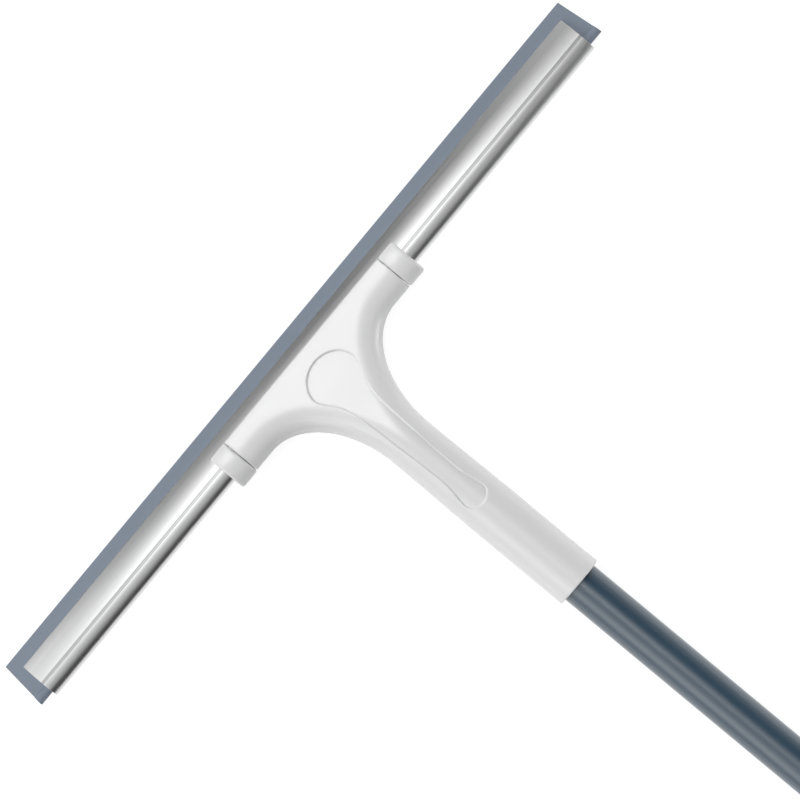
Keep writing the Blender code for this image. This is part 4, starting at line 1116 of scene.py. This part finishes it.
def skin_mesh(name, side, end, end_edge):
    """The head's front skin, side 1, or its back skin, side -1, as one open sheet that faces out."""
    front = side > 0
    ends = [ARM_EDGE * share for share in EDGE_SHARES]
    rim = rim_line(end, RIM_STEP, ends)
    parting = np.ones(len(rim))
    if front:
        parting -= smooth((rim[:, 1] - (COVER_LENGTH - PARTING_RUN)) / PARTING_RUN)
    rows = shoulder_rows(rim, parting)
    grid_x = np.stack([rim[:, 0] + inset * rim[:, 2] for inset, _ in rows])
    grid_v = np.stack([rim[:, 1] + inset * rim[:, 3] for inset, _ in rows])
    grid_n = np.stack([n for _, n in rows])
    inner = np.stack((grid_x[-1], grid_v[-1]), axis=1)
    outline = np.concatenate((inner, [(0.0, end), (0.0, ARM_FRONT), (ARM_LENGTH, ARM_FRONT)]))

    def inside(middles):
        good = inside_outline(middles, outline)
        return good if front else good & clear_of_wells(*middles.T, WELL_RADIUS * 0.999)

    places = face_places(front, end, end_edge, ends, inner)
    places, triangles = fill_triangles(places, len(inner), inside)
    x, v = places.T
    n = skin_height(x, v)
    if front:
        n = n - RECESS_DEPTH * smooth(0.5 + in_recess(x, v) / RECESS_WALL_WIDTH)

    bm = bmesh.new()
    shoulder = skin_world(grid_x, grid_v, grid_n, side, end, end_edge)
    shoulder = [[bm.verts.new(p) for p in row] for row in shoulder]
    bridge(bm, shoulder)
    flat = [bm.verts.new(p) for p in skin_world(x, v, n, side, end, end_edge)]
    for triangle in triangles:
        bm.faces.new([flat[i] for i in triangle])
    edge = sorted((f for f, at in zip(flat, v) if abs(at - ARM_FRONT) < MERGE), key=lambda f: f.co.x)
    edge_x = np.array([f.co.x for f in edge])
    lip = side * channel_height(ARM_FRONT + SHELL_WALL, GAP)
    under = spine_points(edge_x, np.full(len(edge), ARM_FRONT), np.full(len(edge), lip))
    bridge(bm, (edge, [bm.verts.new(p) for p in under]))
    if front:
        add_socket_back(bm, rim, shoulder[0], end, end_edge)
    else:
        for spot in RIGHT_WELLS:
            add_well(bm, flat, x, v, *spot)
    bmesh.ops.remove_doubles(bm, verts=bm.verts, dist=MERGE * 2)
    mirror_sheet(bm)
    face_out(bm, side)
    return finished(bm, name)


def skin_world(x, v, n, side, end, end_edge):
    x, v, n = edged(x, v, n, end, end_edge)
    return spine_points(x, v, side * n)


def resampled(line, step):
    """A line with its points about a step apart."""
    lengths = np.concatenate(([0], np.cumsum(np.linalg.norm(np.diff(line, axis=0), axis=1))))
    places = np.linspace(0, lengths[-1], int(lengths[-1] / step) + 1)
    return np.stack([np.interp(places, lengths, line[:, i]) for i in range(2)], axis=1)


def unique_points(points):
    """The points without any that lie on another."""
    keys = np.round(points / (MERGE * 4)).astype(np.int64)
    _, first = np.unique(keys, axis=0, return_index=True)
    return points[np.sort(first)]


def add_well(bm, flat, x, v, spot_x, spot_v):
    """The wall and floor of the well that a screw sits in."""
    away = np.hypot(x - spot_x, v - spot_v)
    loop = [i for i in np.nonzero(np.abs(away - WELL_RADIUS) < 5 * MERGE)[0]]
    loop.sort(key=lambda i: math.atan2(v[i] - spot_v, x[i] - spot_x))
    rings = [[flat[i] for i in loop]]
    for radius in (WELL_RADIUS, SCREW_SHANK_RADIUS + GAP):
        share = radius / WELL_RADIUS
        xs = spot_x + (x[loop] - spot_x) * share
        vs = spot_v + (v[loop] - spot_v) * share
        rings.append([bm.verts.new(p) for p in spine_points(xs, vs, np.full(len(loop), -SCREW_SEAT))])
    bridge(bm, rings, closed=spot_x > MERGE)


def add_socket_back(bm, rim, first_row, end, end_edge):
    """The back half of the round socket, below the cover."""
    ring = [i for i in range(len(rim)) if rim[i, 1] >= COVER_LENGTH - MERGE]
    half, vs = rim[ring, 0], rim[ring, 1]
    height = head_height(vs)
    rows = [[first_row[i] for i in ring]]
    for angle in arc(SOCKET_STEPS, 0, 90)[1:]:
        blend = float(smooth(angle / PARTING_FADE))
        lip = 1 - blend * edge_drop(vs - COVER_LENGTH, PARTING_EDGE) / SOCKET_RADIUS
        place = edged(half * math.cos(angle) * lip, vs, -height * math.sin(angle) * lip, end, end_edge)
        rows.append([bm.verts.new(p) for p in spine_points(*place)])
    bridge(bm, rows)


def mirror_sheet(bm):
    """Adds the left half and joins it to the right one."""
    for vert in bm.verts:
        if abs(vert.co.x) < MERGE * 3:
            vert.co.x = 0.0
    made = bmesh.ops.duplicate(bm, geom=bm.verts[:] + bm.edges[:] + bm.faces[:])
    copies = [item for item in made["geom"] if isinstance(item, bmesh.types.BMVert)]
    for vert in copies:
        vert.co.x = -vert.co.x
    bmesh.ops.remove_doubles(bm, verts=bm.verts, dist=MERGE * 2)


def face_out(bm, side):
    """Turns every face of the sheet to one side, which is out."""
    bmesh.ops.recalc_face_normals(bm, faces=bm.faces)
    top = max(bm.faces, key=lambda f: side * f.calc_center_median().z)
    if side * top.normal.z < 0:
        bmesh.ops.reverse_faces(bm, faces=bm.faces)


def thickened(name, mesh, wall):
    """A sheet given a wall on its inner side."""
    obj = new_object(name, mesh)
    solid = obj.modifiers.new("wall", "SOLIDIFY")
    solid.thickness = wall
    solid.offset = -1
    return evaluated_mesh(obj)


def make_head_skins(white, white_back):
    for name, side, end, edge, material, node in (
        ("front_skin", 1, SOCKET_END, MOUTH_EDGE, white, "head_housing"),
        ("back_skin", -1, COVER_END, PARTING_EDGE, white_back, "back_cover"),
    ):
        mesh = thickened(name, skin_mesh(name, side, end, edge), SHELL_WALL)
        piece(name, mesh, material, "head", "white_plastic", node)


# Cover screws


def screw_mesh():
    """One pan-head screw pointing up, its head below with a cross recess."""
    under = -SCREW_SEAT - GAP
    bottom = under - SCREW_HEAD_HEIGHT
    line = [
        (0, bottom),
        (SCREW_CROWN_RADIUS, bottom, SCREW_CROWN_ROUND),
        (SCREW_HEAD_RADIUS, bottom + SCREW_HEAD_HEIGHT * SCREW_RIM_SHARE, SCREW_RIM_ROUND),
        (SCREW_HEAD_RADIUS, under, SCREW_EDGE),
        (SCREW_SHANK_RADIUS, under, SCREW_EDGE),
        (SCREW_SHANK_RADIUS, SCREW_REACH, SCREW_TIP_ROUND),
        (0, SCREW_REACH),
    ]
    profile = rounded(line, closed=False)
    blank = turned_mesh("screw_blank", profile, None, False, Matrix.Identity(4), steps=SCREW_STEPS)
    long, wide = SCREW_CROSS / 2, SCREW_CROSS_WIDTH / 2
    corners = [Vector(corner) for corner in ((wide, long), (-wide, long), (-wide, wide))]
    outline = []
    for angle in arc(4, 0, 360)[:-1]:
        outline += [Matrix.Rotation(angle, 2) @ corner for corner in corners]
    bm = bmesh.new()
    rings = []
    for share, z in (
        (SCREW_CROSS_MOUTH, bottom - SCREW_CROSS_DEPTH),
        (SCREW_CROSS_FLOOR, bottom + SCREW_CROSS_DEPTH),
    ):
        rings.append([bm.verts.new((p.x * share, p.y * share, z)) for p in outline])
    bm.faces.new(rings[1])
    bm.faces.new(reversed(rings[0]))
    bridge(bm, rings, closed=True)
    bmesh.ops.recalc_face_normals(bm, faces=bm.faces)
    bmesh.ops.triangulate(bm, faces=bm.faces)
    return cut(blank, finished(bm, "screw_cross"))


def make_screws(steel):
    one = new_object("one_screw", screw_mesh())
    points = bpy.data.meshes.new("cover_screws")
    places = [spine_place(x, v) for x, v in SCREW_SPOTS]
    points.from_pydata([place.to_translation() for place in places], [], [])
    turns = points.attributes.new("turn", "FLOAT_VECTOR", "POINT")
    for item, place, spin in zip(turns.data, places, SCREW_TURNS):
        item.vector = (place @ Matrix.Rotation(math.radians(spin), 4, "Z")).to_euler()
    mesh = with_tree(new_object("cover_screws", points), COPIES, piece=one, material=steel)
    bpy.data.objects.remove(one, do_unlink=True)
    names = ("hub_screw_left", "hub_screw_right", "neck_screw_upper", "neck_screw_lower")
    piece("cover_screws", mesh, steel, "head", "steel", *names)


# The pole


def make_tube(name, node, body, radius, coating, bead=()):
    """A coated tube, with a rolled bead on its outer side where one is given."""
    low, high, _ = box_of(node)
    inner = radius - TUBE_WALL
    line = [(radius, low.y), *bead, (radius, high.y), (inner, high.y), (inner, low.y)]
    mesh = turned_mesh(name, rounded(line, TUBE_EDGE), coating)
    piece(name, mesh, coating, body, "pole_coating", node)


def make_tubes(coating):
    """The upper tube, with the bead that stops it in the lower one, and the lower tube."""
    low, _, bead_radius = box_of("upper_tube")
    stop = low.y + STOP_AT
    bead = [
        (TUBE_RADIUS, stop - STOP_HALF, STOP_ROUND),
        (bead_radius, stop - STOP_HALF / 2, STOP_ROUND),
        (bead_radius, stop + STOP_HALF / 2, STOP_ROUND),
        (TUBE_RADIUS, stop + STOP_HALF, STOP_ROUND),
    ]
    make_tube("coated_tube", "upper_tube", "upper_pole", TUBE_RADIUS, coating, bead)
    make_tube("outer_tube", "lower_tube", "lower_pole", LOWER_RADIUS, coating)


def make_lock(white):
    """The fluted twist collar, with a lip at its mouth and a snap groove in its bore."""
    low, high, radius = box_of("lock_collar")
    bore = FERRULE_RADIUS + GAP
    mouth = TUBE_RADIUS + 2 * GAP
    snap = low.y + SNAP_AT
    rows = steps_between(low.y + LOCK_PLAIN_END, high.y - LOCK_PLAIN_END, LOCK_ROW_STEP)
    line = [
        (bore, low.y),
        (radius, low.y, LOCK_BACK_ROUND),
        *[(radius, y) for y in rows],
        (radius, high.y, LOCK_FRONT_ROUND),
        (mouth, high.y, LOCK_MOUTH_ROUND),
        (mouth, high.y - LOCK_LIP),
        (bore, high.y - LOCK_LIP),
        (bore, snap + SNAP_LENGTH),
        (bore + SNAP_DEPTH, snap + SNAP_LENGTH),
        (bore + SNAP_DEPTH, snap - GAP),
        (bore, snap - GAP),
    ]
    mesh = turned_mesh(
        "twist_collar",
        rounded(line, LOCK_EDGE),
        white,
        steps=LOCK_STEPS,
        flutes=FLUTES,
        flute_depth=FLUTE_DEPTH,
        flute_share=FLUTE_SHARE,
        flute_start=low.y + FLUTE_MARGIN,
        flute_end=high.y - FLUTE_MARGIN,
        fade=FLUTE_FADE,
        outer=radius - FLUTE_SKIN,
    )
    piece("twist_collar", mesh, white, "lock", "white_plastic", "lock_collar")


def make_ferrule(dark):
    """The clamping sleeve on the lower tube's end, its nose split in four."""
    low, high, flange = box_of("lock_ferrule")
    web = TUBE_RADIUS + WEB_GAP
    web_front = high.y - WEB_AT
    web_back = web_front - WEB_LENGTH
    line = [
        (LOWER_FIT, low.y, FLANGE_BORE_ROUND),
        (flange, low.y, FLANGE_BACK_ROUND),
        (flange, low.y + FLANGE_LENGTH, FLANGE_FRONT_ROUND),
        (FERRULE_RADIUS, low.y + FLANGE_LENGTH),
        (FERRULE_RADIUS, high.y - FERRULE_TAPER),
        (FERRULE_RADIUS - FERRULE_WALL, high.y),
        (TUBE_RADIUS + GAP, high.y),
        (TUBE_RADIUS + GAP, web_front),
        (web, web_front),
        (web, web_back),
        (LOWER_FIT, web_back),
    ]
    blank = turned_mesh("split_ferrule", rounded(line, LOCK_EDGE), dark)
    bm = bmesh.new()
    size = Matrix.Diagonal((3 * FERRULE_RADIUS, SLIT_LENGTH, SLIT_WIDTH, 1))
    for turn in (0, 90):
        place = Matrix.Translation((0, high.y, AXIS_Z)) @ Matrix.Rotation(math.radians(turn), 4, "Y")
        bmesh.ops.create_cube(bm, size=1.0, matrix=place @ size)
    mesh = cut(blank, finished(bm, "slits"))
    piece("split_ferrule", mesh, dark, "lower_pole", "dark_plastic", "lock_ferrule")


def make_grip(rubber):
    """The soft sleeve, with grooves round its middle."""
    low, high, radius = box_of("grip_sleeve")
    middle = (low.y + high.y) / 2
    line = [
        (LOWER_FIT, low.y),
        (radius - GRIP_CHAMFER, low.y, GRIP_LIP_ROUND),
        (radius, low.y + GRIP_CHAMFER, GRIP_ROUND),
    ]
    for index in range(GROOVES):
        at = middle + (index - (GROOVES - 1) / 2) * GROOVE_PITCH
        line += [
            (radius, at - GROOVE_HALF, GRIP_LIP_ROUND),
            (radius - GROOVE_DEPTH, at, GROOVE_ROUND),
            (radius, at + GROOVE_HALF, GRIP_LIP_ROUND),
        ]
    line += [
        (radius, high.y - GRIP_TAPER, GRIP_TAPER_ROUND),
        (radius - GRIP_TAPER, high.y, GRIP_ROUND),
        (LOWER_FIT, high.y),
    ]
    mesh = turned_mesh("hand_grip", rounded(line, GRIP_EDGE), rubber)
    piece("hand_grip", mesh, rubber, "lower_pole", "grip_rubber", "grip_sleeve")


def tab_mesh(start, eye_at):
    """The flat hanging tab, seen from above, with its eye and rounded edges."""
    curve = bpy.data.curves.new("tab", "CURVE")
    curve.dimensions = "2D"
    curve.fill_mode = "BOTH"
    curve.extrude = TAB_THICKNESS / 2 - TAB_EDGE
    curve.bevel_depth = TAB_EDGE
    curve.bevel_resolution = 4
    curve.offset = -TAB_EDGE
    outer = [(TAB_HALF, start - eye_at), (-TAB_HALF, start - eye_at)]
    outer += [(TAB_HALF * math.cos(a), TAB_HALF * math.sin(a)) for a in arc(RING_STEPS, 180, 360)]
    eye = [(EYE_RADIUS * math.cos(a), EYE_RADIUS * math.sin(a)) for a in arc(RING_STEPS, 0, -360)[:-1]]
    for loop in (outer, eye):
        spline = curve.splines.new("POLY")
        spline.points.add(len(loop) - 1)
        for point, (x, y) in zip(spline.points, loop):
            point.co = (x, y, 0, 1)
        spline.use_cyclic_u = True
    mesh = evaluated_mesh(new_object("tab", curve))
    bm = bmesh.new()
    bm.from_mesh(mesh)
    bmesh.ops.remove_doubles(bm, verts=bm.verts, dist=MERGE)
    bmesh.ops.recalc_face_normals(bm, faces=bm.faces)
    bmesh.ops.triangulate(bm, faces=bm.faces)
    bm.transform(Matrix.Translation((0, eye_at, AXIS_Z)))
    return finished(bm, "tab")


def make_end_cap(white):
    """The domed cap that plugs the lower tube, with a flat tab to hang it by."""
    low, high, _ = box_of("end_cap")
    flange = box_of("grip_sleeve")[2] - CAP_STEP
    plug = LOWER_RADIUS - TUBE_WALL - GAP
    front = LOWER_LOW.y - GAP
    rim = front - CAP_RIM
    line = [(0, rim - CAP_DOME)]
    for angle in arc(CREST_STEPS, 90, 0):
        across = CAP_TOP_RADIUS + (flange - CAP_TOP_RADIUS) * math.cos(angle)
        line.append((across, rim - CAP_DOME * math.sin(angle)))
    line += [
        (flange, front, CAP_ROUND),
        (plug, front),
        (plug, high.y, CAP_ROUND),
        (plug - CAP_PLUG_WALL, high.y),
        (plug - CAP_PLUG_WALL, front),
        (0, front),
    ]
    body = turned_mesh("cap_body", rounded(line, CAP_EDGE, closed=False), white, closed=False)
    mesh = cut(body, tab_mesh(front - TAB_OVERLAP, low.y + TAB_HALF), "UNION")
    piece("hanger_cap", mesh, white, "lower_pole", "white_plastic", "end_cap")


# Stage, light and camera


def make_floor():
    """A plain white floor that keeps the squeegee's shadow."""
    corners = [(x * FLOOR_HALF, y * FLOOR_HALF, 0) for x, y in ((-1, -1), (1, -1), (1, 1), (-1, 1))]
    mesh = bpy.data.meshes.new("floor")
    mesh.from_pydata(corners, [], [(0, 1, 2, 3)])
    floor = new_object("floor", mesh)
    material = bpy.data.materials.new("white_floor")
    material.use_nodes = True
    nodes, links = material.node_tree.nodes, material.node_tree.links
    nodes.clear()
    rays = nodes.new("ShaderNodeLightPath").outputs
    seen = rays["Is Camera Ray"]
    for ray in ("Is Glossy Ray", "Is Transmission Ray"):
        either = nodes.new("ShaderNodeMath")
        either.operation = "MAXIMUM"
        links.new(seen, either.inputs[0])
        links.new(rays[ray], either.inputs[1])
        seen = either.outputs[0]
    paint, shadow = [nodes.new("ShaderNodeBsdfDiffuse") for _ in range(2)]
    paint.inputs["Color"].default_value = (FLOOR_PAINT, FLOOR_PAINT, FLOOR_PAINT, 1)
    shadow.inputs["Color"].default_value = (FLOOR_SHADOW, FLOOR_SHADOW, FLOOR_SHADOW, 1)
    glow = nodes.new("ShaderNodeEmission")
    glow.inputs["Strength"].default_value = FLOOR_GLOW
    both = nodes.new("ShaderNodeAddShader")
    links.new(shadow.outputs[0], both.inputs[0])
    links.new(glow.outputs[0], both.inputs[1])
    mix = nodes.new("ShaderNodeMixShader")
    for output, socket in zip((seen, paint.outputs[0], both.outputs[0]), mix.inputs):
        links.new(output, socket)
    out = nodes.new("ShaderNodeOutputMaterial")
    links.new(mix.outputs[0], out.inputs[0])
    mesh.materials.append(material)


def make_world():
    """The studio round the squeegee: each panel is strongest at its middle and fades to its edge."""
    world = bpy.data.worlds.new("studio")
    bpy.context.scene.world = world
    world.use_nodes = True
    nodes, links = world.node_tree.nodes, world.node_tree.links
    place = nodes.new("ShaderNodeTexCoord")
    light = None
    for zenith, bearing, width, strength in PANELS:
        zenith, bearing, width = map(math.radians, (zenith, bearing, width))
        flat = math.sin(zenith)
        middle = (flat * math.cos(bearing), flat * math.sin(bearing), math.cos(zenith))
        facing = nodes.new("ShaderNodeVectorMath")
        facing.operation = "DOT_PRODUCT"
        facing.inputs[1].default_value = middle
        links.new(place.outputs["Generated"], facing.inputs[0])
        panel = nodes.new("ShaderNodeMapRange")
        panel.interpolation_type = "SMOOTHSTEP"
        panel.inputs["From Min"].default_value = math.cos(width)
        panel.inputs["To Max"].default_value = strength
        links.new(facing.outputs["Value"], panel.inputs["Value"])
        if light:
            both = nodes.new("ShaderNodeMath")
            links.new(light, both.inputs[0])
            links.new(panel.outputs["Result"], both.inputs[1])
            light = both.outputs[0]
        else:
            light = panel.outputs["Result"]
    links.new(light, nodes["Background"].inputs["Strength"])
    nodes["Background"].inputs["Color"].default_value = (1, 1, 1, 1)


def make_camera():
    data = bpy.data.cameras.new("camera")
    camera = new_object("camera", data)
    data.sensor_width = SENSOR
    data.clip_end = VIEW_END
    data.lens = SENSOR * VIEW_DISTANCE / VIEW_WIDTH
    camera.location = VIEW_CENTRE + Vector((0, 0, VIEW_DISTANCE))
    camera.rotation_euler = (0, 0, -BLADE_BEARING)
    bpy.context.scene.camera = camera
    bpy.context.scene.view_settings.view_transform = "Standard"


def main():
    white = white_plastic("white_plastic")
    white_back = white_plastic("white_plastic_back")
    plain = {name: plain_finish(name, **settings) for name, settings in PLAIN_FINISHES.items()}
    dark, steel = plain["dark_plastic"], plain["zinc_steel"]
    make_blade_parts(white, drawn_aluminium(), blade_rubber())
    make_head_skins(white, white_back)
    make_screws(steel)
    make_tubes(pole_coating())
    make_lock(white)
    make_ferrule(dark)
    make_grip(plain["grip_rubber"])
    make_end_cap(white)
    inner = {
        "socket_insert": dark,
        "pole_plug": dark,
        "plug_pin": steel,
        "cap_pin": steel,
        "guide_bush": plain["natural_nylon"],
        "pole_washer": plain["washer_rubber"],
    }
    for node, material in inner.items():
        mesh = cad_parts[node].data
        mesh.materials.clear()
        mesh.materials.append(material)
    make_floor()
    make_world()
    make_camera()


main()
